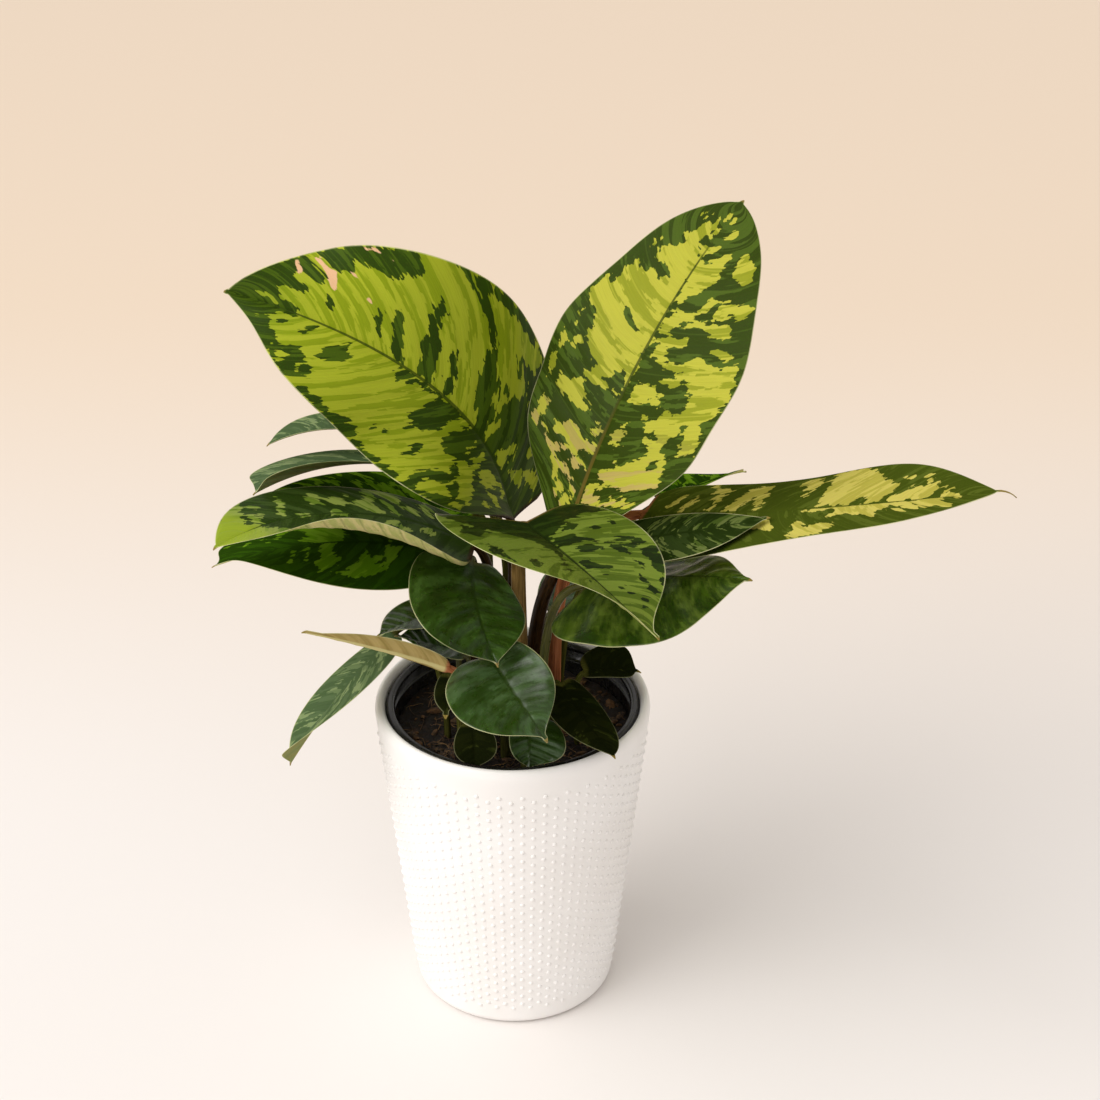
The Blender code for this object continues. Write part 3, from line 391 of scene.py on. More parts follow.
        ("light", [(60, 5), (66, 3), (67.5, 5), (68.5, 12), (68.3, 25), (68, 40), (69, 50),
                   (69.3, 70), (68, 78), (66.5, 68), (65.5, 62), (66, 45), (66, 30), (65, 22),
                   (63, 15)]),
        ("light", [(70, 8), (72, 3), (78, -2), (85, -10), (85.5, 3), (86.5, 12), (87, 18),
                   (85.5, 15), (83, 3), (81.7, 5), (82, 18), (84, 25), (86, 32), (87, 44),
                   (85, 42), (82, 35), (80, 40), (78, 38), (76, 30), (74, 22), (72, 15)]),
        ("light", [(69, 28), (71, 35), (74, 40), (74, 48), (73, 50), (71, 42), (69.5, 38)]),
        ("light", [(70, 52), (73, 48), (74, 55), (75, 65), (75.5, 78), (76.5, 88), (76, 94),
                   (73.5, 90), (72, 80), (71.5, 65)]),
        ("light", [(81, 60), (83, 51), (88, 65), (88, 72), (87, 80), (86, 90), (83, 88), (80, 75)]),
        ("light", [(61, 68), (62, 64), (63, 68), (63.2, 80), (62, 88), (61, 78)]),
        ("light", [(89.5, 15), (90.3, 20), (92, 25), (93, 35), (93, 40), (91.5, 38), (90, 28)]),
        ("light", [(94, 12), (95.5, 14), (95.5, 22), (94.5, 20)]),
    ]),
    "leaf_long_right": ("dark", [
        ("light", [(5.5, -20), (7, -45), (8, -68), (8.5, -50), (7.5, -25), (6.5, -12)]),
        ("light", [(10, -15), (11, -40), (12, -58), (13, -40), (13, -22), (12, -8), (10.5, 2)]),
        ("light", [(12, -100), (14, -100), (15, -85), (17, -75), (19, -72), (19, -55),
                   (19.5, -40), (19.8, -20), (19.5, -3), (18.5, -8), (18, -35), (16.5, -40),
                   (15.5, -60), (14, -75)]),
        ("light", [(24, -80), (26, -82), (28.5, -78), (30, -60), (31, -50), (32, -40), (33, -20),
                   (33.3, -3), (31.5, -15), (30, -30), (28.5, -38), (28, -15), (27.5, 2),
                   (25, -5), (23.8, -2), (24, -35)]),
        ("light", [(38, -88), (40, -95), (42, -85), (44.5, -65), (44.5, -50), (43.5, -30),
                   (42.5, -45), (40, -62), (38, -72)]),
        ("light", [(45, -97), (50, -100), (57, -92), (60, -80), (64, -66), (68, -55), (70, -45),
                   (70.5, -30), (69, -15), (69, -3), (60, -4), (52, -3), (50, -10), (49, -40),
                   (47, -60), (46, -78)]),
        ("dark", [(60, -3), (62, -25), (64, -12), (64, -3)]),
        ("light", [(71, -3), (70.5, -15), (74, -32), (75, -45), (78, -45), (79, -55), (80, -50),
                   (82, -62), (83, -40), (82, -20), (81.5, -5), (80, 0)]),
        ("light", [(77, -80), (79.5, -82), (79.5, -58), (78, -60), (77, -70)]),
        ("light", [(69.5, -68), (73, -70), (73, -63), (70.5, -64)]),
        ("light", [(84, -45), (86, -58), (86, -40), (85, -28)]),
        ("light", [(86.5, -45), (88, -50), (88, -35), (87, -35)]),
        ("light", [(85, -10), (87, -30), (88, -15), (90, -3), (90.5, 10), (90, 30), (88, 15),
                   (86, 0)]),
        ("light", [(46, 5), (50, 3), (53, 0), (60, -2), (70, 3), (78, 12), (79, 15), (81, 5),
                   (84, 0), (86, 8), (86, 40), (88, 75), (88, 85), (86.5, 78), (84, 62), (82, 66),
                   (80.5, 55), (79, 30), (77.5, 25), (79, 50), (79, 62), (76, 50), (75, 35),
                   (72, 15), (72, 30), (75, 45), (76, 60), (74, 58), (72, 40), (70, 30), (68, 35),
                   (68.5, 55), (66, 50), (63, 38), (60, 30), (56, 36), (55, 28), (58, 18),
                   (57, 8), (53, 8), (50, 14), (47, 10)]),
        ("light", [(35, 28), (38, 24), (39.5, 28), (40.5, 45), (41, 60), (38, 50), (35, 42)]),
        ("light", [(45.5, 50), (46.5, 40), (49, 40), (49, 60), (50, 70), (52, 56), (57, 56),
                   (57, 78), (55, 80), (55, 98), (52, 98), (46, 95), (46, 80), (47, 62)]),
        ("light", [(88, 20), (90, 32), (90, 42)]),
    ]),
    "leaf_front_arching": ("light", [
        # This dark shape over the base is partly the leaf's own dark pattern and partly painted shadow
        # that leaf_tall_left casts on its right lobe
        ("dark", [(0, -100), (13, -100), (11, -70), (13, -40), (20, -10), (30, 0), (37, 4),
                  (46, 18), (38, 14), (26, 18), (20, 40), (10, 100), (0, 100)]),
        ("dark", [(20, -63), (21, -67), (23, -62), (21.5, -54)]),
        ("dark", [(21.5, -5), (22, -30), (25, -35), (32, -46), (30, -35), (30, -18), (31, -2)]),
        ("dark", [(15, -44), (16.5, -48), (19, -34), (19.5, -22), (17, -24)]),
        ("dark", [(32.5, -30), (35, -42), (39, -48), (38, -32), (36, -10), (34.5, -16)]),
        ("dark", [(44.5, -18), (48, -22), (51, -37), (52.5, -34), (52, -16), (53, -6), (45, -4)]),
        ("dark", [(56, -22), (57.5, -33), (57.5, -26), (56.5, -20)]),
        ("dark", [(63, -36), (64.5, -42), (64.5, -32), (63.5, -29)]),
        ("dark", [(66, -34), (67, -37), (68.3, -24), (66.5, -26)]),
        ("dark", [(70.5, -38), (71.5, -43), (72, -36), (71, -34)]),
        ("dark", [(32, -56), (33, -84), (35, -80), (35, -68), (33.5, -52)]),
        ("dark", [(35, -86), (38, -92), (40, -80), (38, -66), (42, -64), (38, -52), (35.5, -56),
                  (37, -72)]),
        ("dark", [(45, -80), (60, -92), (70, -96), (66, -100), (40, -100), (42, -84)]),
        ("dark", [(44, -66), (52, -76), (56, -72), (50, -66), (42, -60)]),
        ("dark", [(58, -64), (64, -76), (70, -88), (74, -86), (68, -74), (62, -62)]),
        ("dark", [(74, -60), (76, -74), (78, -70), (76, -56)]),
        ("dark", [(80, -56), (81.5, -72), (83, -64), (82, -48)]),
        ("dark", [(19, -84), (22, -90), (25, -78), (22, -78)]),
        ("dark", [(46, 18), (50, 30), (52, 44), (49, 34)]),
        ("dark", [(51, 14), (54, 30), (56, 50), (53, 38)]),
        ("dark", [(60, 2), (62, 22), (64, 34), (61.5, 20)]),
        ("dark", [(44, 58), (48, 66), (50, 90), (46, 76)]),
        ("dark", [(30, 78), (36, 80), (44, 92), (38, 96)]),
        ("dark", [(16, 60), (20, 56), (26, 74), (22, 92), (17, 80)]),
    ]),
    "leaf_left_upper": ("dark", [
        ("light", [(13.5, -12), (19, -13), (19.5, -2), (15, -4)]),
        ("light", [(20.5, -20), (26.5, -20), (26.5, -12), (22, -13)]),
        ("light", [(28, -14), (33, -15), (32.5, -8), (28.5, -7)]),
        ("light", [(27, 4), (29.5, 15), (31, 36), (30, 60), (28, 60), (28, 30)]),
        ("light", [(31, 4), (38, 4), (41, 25), (39, 45), (36, 50), (34, 60), (33, 80), (31, 98),
                   (29, 90), (31, 60), (33.5, 42), (34.5, 30), (33, 18)]),
        ("light", [(43, 30), (45, 25), (48.5, 35), (48, 50), (45, 57), (43, 48)]),
        ("light", [(50, 55), (53, 28), (55.5, 35), (55, 45), (52, 65), (50, 80), (48.5, 78)]),
        ("light", [(39, 62), (40, 55), (40.5, 62), (39.5, 80), (38.5, 70)]),
        ("light", [(48, -6), (55, -6), (54, 2), (50, 14), (48, 6)]),
        ("light", [(61, 0), (65, -4), (67.5, 10), (63, 7)]),
        ("light", [(60, 70), (62, 55), (66, 36), (68, 20), (68, 6), (70, 8), (70, 22), (67, 42),
                   (64, 60), (61, 80)]),
        ("light", [(15, 40), (17, 40), (17, 80), (15, 98), (14, 80)]),
        ("light", [(20, 30), (23, 25), (24, 40), (22, 55), (20, 50)]),
        ("light", [(23, 70), (26, 60), (28, 75), (30, 100), (24, 100), (22, 95)]),
        ("light", [(71, 70), (73, 40), (75, 30), (74.5, 52), (72, 84)]),
        ("light", [(77, 50), (78, 20), (79, 4), (80, 20), (79, 46), (78, 56)]),
        ("light", [(81, 6), (82.5, 0), (83, 12), (81.5, 16)]),
        # This light shape over the outer third is painted sheen: the upper face lighter and greyer toward
        # the tip, where it catches the light
        ("light", [(66, -100), (70, -60), (74, -40), (80, -10), (84, 24), (80, 60), (72, 100),
                   (103, 100), (103, -100)]),
        ("dark", [(75, -12), (78, -22), (80, -16), (77, -6)]),
        ("dark", [(69, -34), (71, -30), (70, -20), (68, -24)]),
    ]),
    "leaf_left_lower": ("dark", [
        ("light", [(35, 98), (38, 62), (39, 30), (43, 8), (48, 0), (60, 0), (60, 10), (52, 35),
                   (49, 60), (46, 85), (42, 98)]),
        ("light", [(48, -2), (47, -18), (43, -32), (40, -52), (44, -72), (47, -74), (49, -55),
                   (51, -28), (53.5, -2)]),
        ("light", [(25, 88), (26, 60), (28, 42), (30, 28), (32, 34), (31, 58), (28, 82)]),
        ("light", [(19, 40), (21, 10), (25, 4), (24, 30), (20, 54)]),
        ("light", [(20, -6), (27, -8), (26, -30), (31, -30), (33, -12), (34, -36), (36, -62),
                   (40, -76), (30, -74), (24, -68), (21, -50), (22, -28)]),
        ("dark", [(23, -33), (24, -54), (25.5, -42), (24.5, -30)]),
        ("dark", [(27.5, -14), (28, -21), (29.5, -10), (29, -2)]),
        ("light", [(50, 58), (57, 50), (62, 40), (64.5, 35), (60, 50), (57, 62), (52, 75),
                   (48, 80)]),
        ("light", [(66, 38), (69, 32), (68, 38)]),
        ("light", [(64, 54), (67, 48), (66, 54)]),
        ("light", [(70, 61), (74, 54), (76, 54), (73, 60)]),
        ("light", [(55, 88), (60, 80), (63, 79), (58, 88)]),
        ("light", [(48, 96), (51, 88), (52, 92), (50, 98)]),
        ("light", [(57, 96), (60, 90), (60, 95), (58, 98)]),
        ("light", [(72.5, 91), (76, 82), (77, 84), (74, 92)]),
        ("light", [(54, -60), (56, -36), (60, -10), (57, -14), (55, -34)]),
        ("light", [(60, -66), (62, -40), (66, -14), (63, -20), (61, -44)]),
    ]),
}


# Shapes

def placed(name, data):
    """A new object in the scene."""
    item = bpy.data.objects.new(name, data)
    bpy.context.scene.collection.objects.link(item)
    return item


def meshed(form, name):
    """A mesh from a finished form."""
    mesh = bpy.data.meshes.new(name)
    form.to_mesh(mesh)
    form.free()
    return mesh


def own_number(leaf, limit):
    """A whole number below the limit that sets one leaf's unevenness apart from another's."""
    return sum(map(ord, leaf.name)) % limit


def unit(vectors):
    """Vectors scaled to length one."""
    return vectors / np.linalg.norm(vectors, axis=-1, keepdims=True)


def midrib(leaf):
    """Places, points, directions and upward normals along the midrib, and on into its tail."""
    end = 1 + leaf.tail / leaf.length
    t = np.linspace(0, end, MIDRIB_POINTS)
    past = np.clip((t - 1) / (end - 1), 0, 1)
    heading = np.radians(leaf.heading + leaf.turn * t)
    climb = np.radians(leaf.rise - leaf.droop * t - leaf.tail_bend * past)
    roll = np.radians(leaf.roll + leaf.twist * t)[:, None]
    level, steep = np.cos(climb), np.sin(climb)
    way = np.stack([level * np.cos(heading), level * np.sin(heading), steep], -1)
    up = np.stack([-steep * np.cos(heading), -steep * np.sin(heading), level], -1)
    up = up * np.cos(roll) + np.cross(way, up) * np.sin(roll)
    steps = (way[1:] + way[:-1]) * leaf.length * (t[1] - t[0]) / 2
    points = np.array(leaf.base) + np.vstack([np.zeros(3), np.cumsum(steps, 0)])
    return t, points, way, up


def outline(leaf, t):
    """Half-width along the midrib as a share of the widest, 0 at both ends."""
    skew = log(0.5) / log(leaf.widest)
    power = leaf.base_round + (leaf.tip_round - leaf.base_round) * np.clip(t, 0, 1)
    return np.abs(np.sin(pi * np.clip(t, 0, 1) ** skew)) ** power


def blade(leaf, t, v):
    """Points, upward normals and widths of the blade's middle surface: t along the midrib, and v
    from -1 at the left margin to 1 at the right margin."""
    right = v >= 0
    across = np.abs(v)
    inner = np.clip(t, 0, 1)

    def side(pair, tip_pair):
        start = np.where(right, pair[1], pair[0])
        end = np.where(right, tip_pair[1], tip_pair[0])
        return np.radians(start + (end - start) * inner)

    share = outline(leaf, inner)
    past = np.clip((t - 1) * leaf.length / leaf.tail, 0, 1)
    tip_width = TAIL_WIDTH + (TAIL_END - TAIL_WIDTH) * past
    floor = np.where(t < 0.5, leaf.stalk[1] * (1 - t), tip_width)
    width = np.maximum(share * np.where(right, leaf.widths[1], leaf.widths[0]), floor)
    fold = side(leaf.fold, leaf.fold_tip)
    curl = side(leaf.curl, leaf.curl_tip)
    curl = np.where(np.abs(curl) < 0.001, 0.001, curl)
    lean = fold + curl * across
    out = width * (np.sin(lean) - np.sin(fold)) / curl
    rise = width * (np.cos(fold) - np.cos(lean)) / curl
    ripple = np.sin(2 * pi * leaf.waves * inner + leaf.phase + np.where(right, WAVE_SHIFT, 0.0))
    rise = rise + leaf.wave * ripple * across ** 2 * np.sqrt(share)

    lobe = leaf.lobe + np.where(right, leaf.hip, 0.0)
    slant = leaf.sweep * (1 - inner ** 8) - lobe * (1 - inner) ** 4
    samples, points, way, up = midrib(leaf)
    place_along = t + across * width * slant / leaf.length
    inside = np.clip(place_along, 0, np.maximum(1, t))
    beyond = ((place_along - inside) * leaf.length)[..., None]

    def read(values):
        return np.stack([np.interp(inside, samples, values[:, i]) for i in range(3)], -1)

    along = unit(read(way))
    above = read(up)
    above = unit(above - (above * along).sum(-1, keepdims=True) * along)
    sideways = np.cross(along, above) * np.where(right, 1.0, -1.0)[..., None]
    surface = read(points) + beyond * along + out[..., None] * sideways + rise[..., None] * above
    normals = np.cos(lean)[..., None] * above - np.sin(lean)[..., None] * sideways
    return surface, normals, width


def stalk_line(leaf):
    """Centre points of the stalk: straight in its hole, then one smooth bend up to the blade."""
    foot = np.array([*leaf.foot, SOIL_TOP])
    base = np.array(leaf.base)
    way = midrib(leaf)[2][0]
    span = np.linalg.norm(base - foot)
    lower = foot + np.array([0, 0, span * leaf.lift])
    upper = base - way * span * leaf.reach
    s = np.linspace(0, 1, STALK_POINTS)[:, None]
    bend = foot * (1 - s) ** 3 + 3 * lower * s * (1 - s) ** 2
    bend = bend + 3 * upper * s * s * (1 - s) + base * s ** 3
    return np.vstack([foot - [0, 0, STALK_DEPTH], bend])


def stalk_rows(leaf, places):
    """Rings of the stalk from its foot to just below the blade: upper and lower side."""
    points = stalk_line(leaf)
    way = unit(np.gradient(points, axis=0))
    up = np.zeros_like(points)
    normal = midrib(leaf)[3][0]
    for i in range(len(points) - 1, -1, -1):
        normal = unit(normal - normal.dot(way[i]) * way[i])
        up[i] = normal
    angle = places * STALK_SPREAD
    sheath = SHEATH if leaf.length > LARGE_LEAF else 1.0
    upper = []
    lower = []
    for i in range(0, len(points) - 1, STALK_STEP):
        way_up = i / (len(points) - 1)
        radius = leaf.stalk[0] + (leaf.stalk[1] - leaf.stalk[0]) * way_up ** 0.7
        radius *= 1 + (sheath - 1) * sin(pi * way_up) ** 0.6
        middle = points[i] + radius * np.sin(angle)[:, None] * np.cross(way[i], up[i])
        rise = radius * np.cos(angle)[:, None] * up[i]
        upper.append(middle + STALK_FLAT * rise)
        lower.append(middle - rise)
    return upper, lower


def vein_count(leaf):
    """Side veins on each half."""
    return round(leaf.length / VEIN_SPACE) if leaf.length > LARGE_LEAF else SMALL_VEINS


def bowed(t, v):
    """Where the side vein through a place starts at the midrib."""
    return t - VEIN_LEAN * np.abs(v) ** 1.5


def vein_turn(leaf, t, v):
    """Places counted in side veins: a whole number is a vein, and the halves are half a step apart."""
    return bowed(t, v) * vein_count(leaf) + np.where(v > 0, 0.5, 0.0)


def skin_relief(leaf, surface, t, v, join):
    """Height of the skin's hills between the side veins, and of its slower unevenness."""
    glossy = leaf.look in GLOSSY
    size = QUILT_GLOSSY if glossy else 1.0 if leaf.length > LARGE_LEAF else QUILT_SMALL
    across = np.abs(v)
    hills = np.abs(np.sin(pi * vein_turn(leaf, t, v))) ** (1.0 if glossy else 0.6) - 0.7
    fade = np.clip(across / 0.1, 0, 1) * np.clip((1 - across) / 0.25, 0, 1)
    quilt = size * QUILT * hills * fade * join * np.clip(np.clip(1 - t, 0, 1) / 0.15, 0, 1)
    pitch = GLOSSY_SWAY_PITCH if glossy else SWAY_PITCH
    places = (surface * pitch + own_number(leaf, 97)).reshape(-1, 3)
    sway = np.array([noise.noise(Vector(place)) for place in places]).reshape(v.shape)
    height = GLOSSY_SWAY if glossy else SWAY * size
    return quilt + height * sway * join * np.sqrt(across) * np.clip((1 - across) / 0.2, 0.3, 1)


def blade_rows(leaf, places, stations):
    """Rows of the blade from its base to the end of its tail, and its places as t and v."""
    fraction = np.linspace(0, 1, stations)
    t = 0.35 * (1 - np.cos(pi * fraction)) / 2 + 0.65 * fraction
    tail = 1 + np.linspace(0, 1, TAIL_ROWS + 1)[1:] * leaf.tail / leaf.length
    t = np.concatenate([t, tail])[:, None]
    join = np.minimum(1.0, t * leaf.length / STALK_JOIN)
    join = join * join * (3 - 2 * join)
    angle = places * STALK_SPREAD
    v = (1 - join) * np.sin(angle) + join * places
    t_all = np.broadcast_to(t, v.shape)
    surface, normals, width = blade(leaf, t_all, v)
    slope = unit(np.cross(np.gradient(surface, axis=1), np.gradient(surface, axis=0)) + 1e-12)
    trust = (join * (1 - np.clip(t, 0, 1) ** 12))[..., None]
    normals = unit((1 - trust) * normals + trust * slope)

    distance = np.abs(v) * width
    inner = np.clip(1 - t, 0, 1)
    keel_width = KEEL_WIDTH * (0.35 + 0.65 * inner)
    keel = 0.8 * leaf.stalk[1] * inner * np.exp(-(distance / keel_width) ** 2)
    groove = GROOVE * np.sqrt(inner) * np.exp(-(distance / GROOVE_WIDTH) ** 2)
    relief = skin_relief(leaf, surface, t_all, v, join)
    round_side = (1 - join) * leaf.stalk[1] * np.cos(angle)
    skin = MARGIN_SKIN + (SKIN - MARGIN_SKIN) * (1 - np.abs(v) ** 3)
    above = STALK_FLAT * round_side + join * (skin / 2 - groove) + relief
    below = round_side + join * (skin / 2 + keel) - relief
    upper = surface + above[..., None] * normals
    lower = surface - below[..., None] * normals
    return upper, lower, t_all, v, width, np.broadcast_to(join, v.shape)


def polygon_distance(points, shape):
    """Signed distance of points from a closed outline, positive inside."""
    nearest = np.full(len(points), 1e9)
    inside = np.zeros(len(points), bool)
    for a, b in zip(shape, np.roll(shape, -1, 0)):
        side = b - a
        share = np.clip(((points - a) @ side) / (side @ side + 1e-12), 0, 1)
        nearest = np.minimum(nearest, np.linalg.norm(points - a - share[:, None] * side, axis=1))
        crosses = (a[1] > points[:, 1]) != (b[1] > points[:, 1])
        rise = b[1] - a[1] if b[1] != a[1] else 1e-12
        inside ^= crosses & (points[:, 0] < side[0] * (points[:, 1] - a[1]) / rise + a[0])
    return np.where(inside, nearest, -nearest)


def marking_fields(leaf, t, v):
    """How deep each place lies inside the light part of the pattern, and inside a scar (cm)."""
    scale = np.array([leaf.length, sum(leaf.widths) / 2]) * 100
    places = np.stack([t.ravel(), v.ravel()], -1) * scale
    ground, shapes = MARKINGS.get(leaf.name, ("dark", []))
    light = np.full(len(places), FIELD_REACH if ground == "light" else -FIELD_REACH)
    scar = np.full(len(places), -FIELD_REACH)
    for kind, points in shapes:
        depth = polygon_distance(places, np.array(points) / 100 * scale)
        if kind == "light":
            light = np.maximum(light, depth)
        elif kind == "dark":
            light = np.minimum(light, -depth)
        else:
            scar = np.maximum(scar, depth)
    return [np.clip(field, -FIELD_REACH, FIELD_REACH).reshape(t.shape) for field in (light, scar)]


def columns_for(leaf):
    """Places across a blade, closer together by the midrib and at the margin."""
    half = round(max(leaf.widths) / CELL) if leaf.length > LARGE_LEAF else SMALL_COLUMNS
    share = np.linspace(0, 1, half + 1)
    share = 0.75 * share + 0.25 * (1 - np.cos(pi * share)) / 2
    return np.concatenate([-share[:0:-1], share])


def leaf_facts(leaf, places, rings, t, v, width, join):
    """What the leaf's material reads at each point: places in cm, depths in the markings, and so on.
    The first rows are the rings of the stalk."""
    light, scar = marking_fields(leaf, t, v)

    def grow(values, first):
        return np.concatenate([np.full((rings, len(places)), first), values])

    along = grow(bowed(t, v) * leaf.length * 100, 0.0)
    along[:rings] = np.linspace(-leaf.length, 0, rings, endpoint=False)[:, None] * 100
    across = grow(v * width * 100, 0.0)
    across[:rings] = places * leaf.stalk[0] * 100
    return {
        "along": along,
        "across": across,
        "light": grow(light, -FIELD_REACH),
        "scar": grow(scar, -FIELD_REACH),
        "edge": grow((1 - np.abs(v)) * width * 1000, FAR_FROM_EDGE),
        "share": grow(t, 0.0),
        "blade": grow(join, 0.0),
        "veins": grow(vein_turn(leaf, t, v), 0.0),
    }


def closed_faces(rows, count):
    """Faces of a closed sheet whose rows hold the points of its upper side, then of its lower side."""
    number = np.arange(rows * 2 * count).reshape(rows, 2 * count)
    top = number[:, :count]
    bottom = number[:, count:]

    def quads(a, b, c, d):
        return np.stack([a.ravel(), b.ravel(), c.ravel(), d.ravel()], -1)

    return np.concatenate([
        quads(top[:-1, :-1], top[:-1, 1:], top[1:, 1:], top[1:, :-1]),
        quads(bottom[:-1, :-1], bottom[1:, :-1], bottom[1:, 1:], bottom[:-1, 1:]),
        quads(top[:-1, 0], top[1:, 0], bottom[1:, 0], bottom[:-1, 0]),
        quads(top[:-1, -1], bottom[:-1, -1], bottom[1:, -1], top[1:, -1]),
        quads(top[0, :-1], bottom[0, :-1], bottom[0, 1:], top[0, 1:]),
        quads(top[-1, :-1], top[-1, 1:], bottom[-1, 1:], bottom[-1, :-1]),
    ])


def make_leaf(leaf):
    """One leaf with its stalk as a closed mesh, with its places and markings as attributes."""
    places = columns_for(leaf)
    count = len(places)
    stations = round(leaf.length / CELL) if leaf.length > LARGE_LEAF else SMALL_STATIONS
    stalk_upper, stalk_lower = stalk_rows(leaf, places)
    upper, lower, t, v, width, join = blade_rows(leaf, places, stations)
    facts = leaf_facts(leaf, places, len(stalk_upper), t, v, width, join)
    upper = np.concatenate([np.array(stalk_upper), upper])
    lower = np.concatenate([np.array(stalk_lower), lower])
    rows = len(upper)
    points = np.concatenate([upper, lower], 1).reshape(-1, 3)

    mesh = bpy.data.meshes.new(leaf.name)
    mesh.from_pydata(points.tolist(), [], closed_faces(rows, count).tolist())
    sides = {name: np.concatenate([values, values], 1) for name, values in facts.items()}
    sides["under"] = np.repeat([[0.0, 1.0]], count, 1) * np.ones((rows, 1))
    for name, values in sides.items():
        attribute = mesh.attributes.new(name, "FLOAT", "POINT")
        attribute.data.foreach_set("value", values.ravel().astype(np.float32))
    mesh.shade_smooth()
    form = bmesh.new()
    form.from_mesh(mesh)
    bmesh.ops.recalc_face_normals(form, faces=form.faces)
    form.to_mesh(mesh)
    form.free()
    piece = placed(leaf.name + "_skin", mesh)
    mesh.materials.append(leaf_material(leaf))
    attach(piece, "root")
    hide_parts(leaf.name)


# Materials

def colour(code):
    """A colour written as its screen value, as the shader's own value."""
    parts = [int(code[i:i + 2], 16) / 255 for i in (1, 3, 5)]
    return tuple(c / 12.92 if c <= 0.04045 else ((c + 0.055) / 1.055) ** 2.4 for c in parts) + (1.0,)


class Paint:
    """A short way to write a material's nodes. Every method gives the socket of a new node."""

    def __init__(self, name):
        self.material = bpy.data.materials.new(name)
        self.material.use_nodes = True
        self.tree = self.material.node_tree
        self.shader = self.tree.nodes["Principled BSDF"]

    def node(self, kind, links, **settings):
        made = self.tree.nodes.new("ShaderNode" + kind)
        for key, value in settings.items():
            setattr(made, key, value)
        for key, value in links.items():
            self.feed(made.inputs[key], value)
        return made

    def feed(self, socket, value):
        if isinstance(value, bpy.types.NodeSocket):
            self.tree.links.new(value, socket)
        else:
            socket.default_value = value

    def set(self, **values):
        for key, value in values.items():
            self.feed(self.shader.inputs[key.replace("_", " ")], value)

    def math(self, operation, a, b=0.0):
        return self.node("Math", {0: a, 1: b}, operation=operation).outputs[0]

    def times(self, a, b):
        return self.math("MULTIPLY", a, b)

    def plus(self, a, b):
        return self.math("ADD", a, b)

    def fact(self, name):
        return self.node("Attribute", {}, attribute_name=name).outputs["Fac"]

    def mix(self, factor, a, b):
        made = self.node("Mix", {0: factor}, data_type="RGBA")
        self.feed(made.inputs[6], a)
        self.feed(made.inputs[7], b)
        return made.outputs[2]

    def step(self, value, low, high, to_low=0.0, to_high=1.0):
        return self.node("MapRange", {0: value, 1: low, 2: high, 3: to_low, 4: to_high},
                         interpolation_type="SMOOTHSTEP").outputs[0]

    def vector(self, x, y=0.0, z=0.0):
        return self.node("CombineXYZ", {0: x, 1: y, 2: z}).outputs[0]

    def noise(self, vector, scale, detail=2.0, roughness=0.5):
        links = {"Vector": vector, "Scale": scale, "Detail": detail, "Roughness": roughness}
        return self.node("TexNoise", links).outputs[0]

    def cells(self, vector):
        return self.node("TexWhiteNoise", {0: vector}, noise_dimensions="3D").outputs[0]

    def place(self):
        return self.node("TexCoord", {}).outputs["Object"]

    def bump(self, height, distance, strength):
        links = {"Height": height, "Distance": distance, "Strength": strength}
        return self.node("Bump", links).outputs[0]


# Leaves with a shiny, evenly green skin that swells between its side veins
GLOSSY = ("plain", "bluish", "broad")

# Colours of each kind of leaf: the dark and the light part of its pattern, a second tone for each,
# its underside, the size of its random mottle in cm, and its roughness
LOOKS = {
    "lime": ("#2e400c", "#849318", "#435812", "#a0a92a", "#8f9a4a", 0.10, 0.34),
    "lemon": ("#34420f", "#8f9426", "#4a5d1c", "#b4b23e", "#98a050", 0.10, 0.34),
    "cream": ("#434f14", "#afa746", "#54601f", "#c6bb5a", "#98a050", 0.10, 0.36),
    "fresh": ("#1a260a", "#4c5e18", "#27370e", "#6c7d2c", "#a9a568", 0.10, 0.34),
    "forest": ("#293b10", "#657d29", "#384b1c", "#8a9948", "#c3b87d", 0.10, 0.32),
    "deep": ("#26400a", "#58800f", "#30500c", "#6c9220", "#b5aa70", 0.10, 0.32),
    "plain": ("#1f3604", "#2f4e07", "#284207", "#46652a", "#5f7030", -0.05, 0.30),
    # Its lighter, bluer tones are partly the leaf's own green and partly painted sheen, the reflection of
    # the sky on its shiny skin
    "bluish": ("#24390a", "#334b20", "#2c4214", "#486239", "#5f7030", 0.00, 0.30),
    "broad": ("#26390a", "#40570f", "#314509", "#62762a", "#8f9458", 0.05, 0.30),
    "grey": ("#4c5f3e", "#687a52", "#586b48", "#7f8f62", "#8a8350", 0.02, 0.34),
    "shade": ("#24320f", "#465822", "#31401a", "#64713a", "#6f6a3a", 0.02, 0.34),
    # The low leaves under the canopy: their near-black greens are painted shade, darker than the leaves'
    # own colour
    "dusk": ("#171b09", "#22280e", "#1d210b", "#2f3414", "#4a4a26", -0.20, 0.36),
    "rolled": ("#84713e", "#968049", "#776b37", "#b09b66", "#937f4c", 0.0, 0.42),
}
STEMS = {
    "brown": ("#1c1206", "#3a2610"),
    "tan": ("#5f4a22", "#80663a"),
    "pink": ("#7e4a2c", "#a86c4a"),
    "olive": ("#3d3f18", "#565527"),
}
MARGIN = "#d5d3a0"
RIB_BELOW = "#b7ab76"
STRIPE = "#12240a"
SCAR = "#d8ae86"
TAIL = "#8f7c42"
LEMON_BASE = "#b9a65c"
LEMON_RIB = "#6b5a24"
FOREST_TIP = "#8fa12c"
LIME_TIP = "#5d7a1c"
SHINE = {
    "plain": 0.34,
    "bluish": 0.36,
    "broad": 0.14,
    "fresh": 0.05,
    "lime": 0.04,
    "lemon": 0.04,
    "forest": 0.03,
}


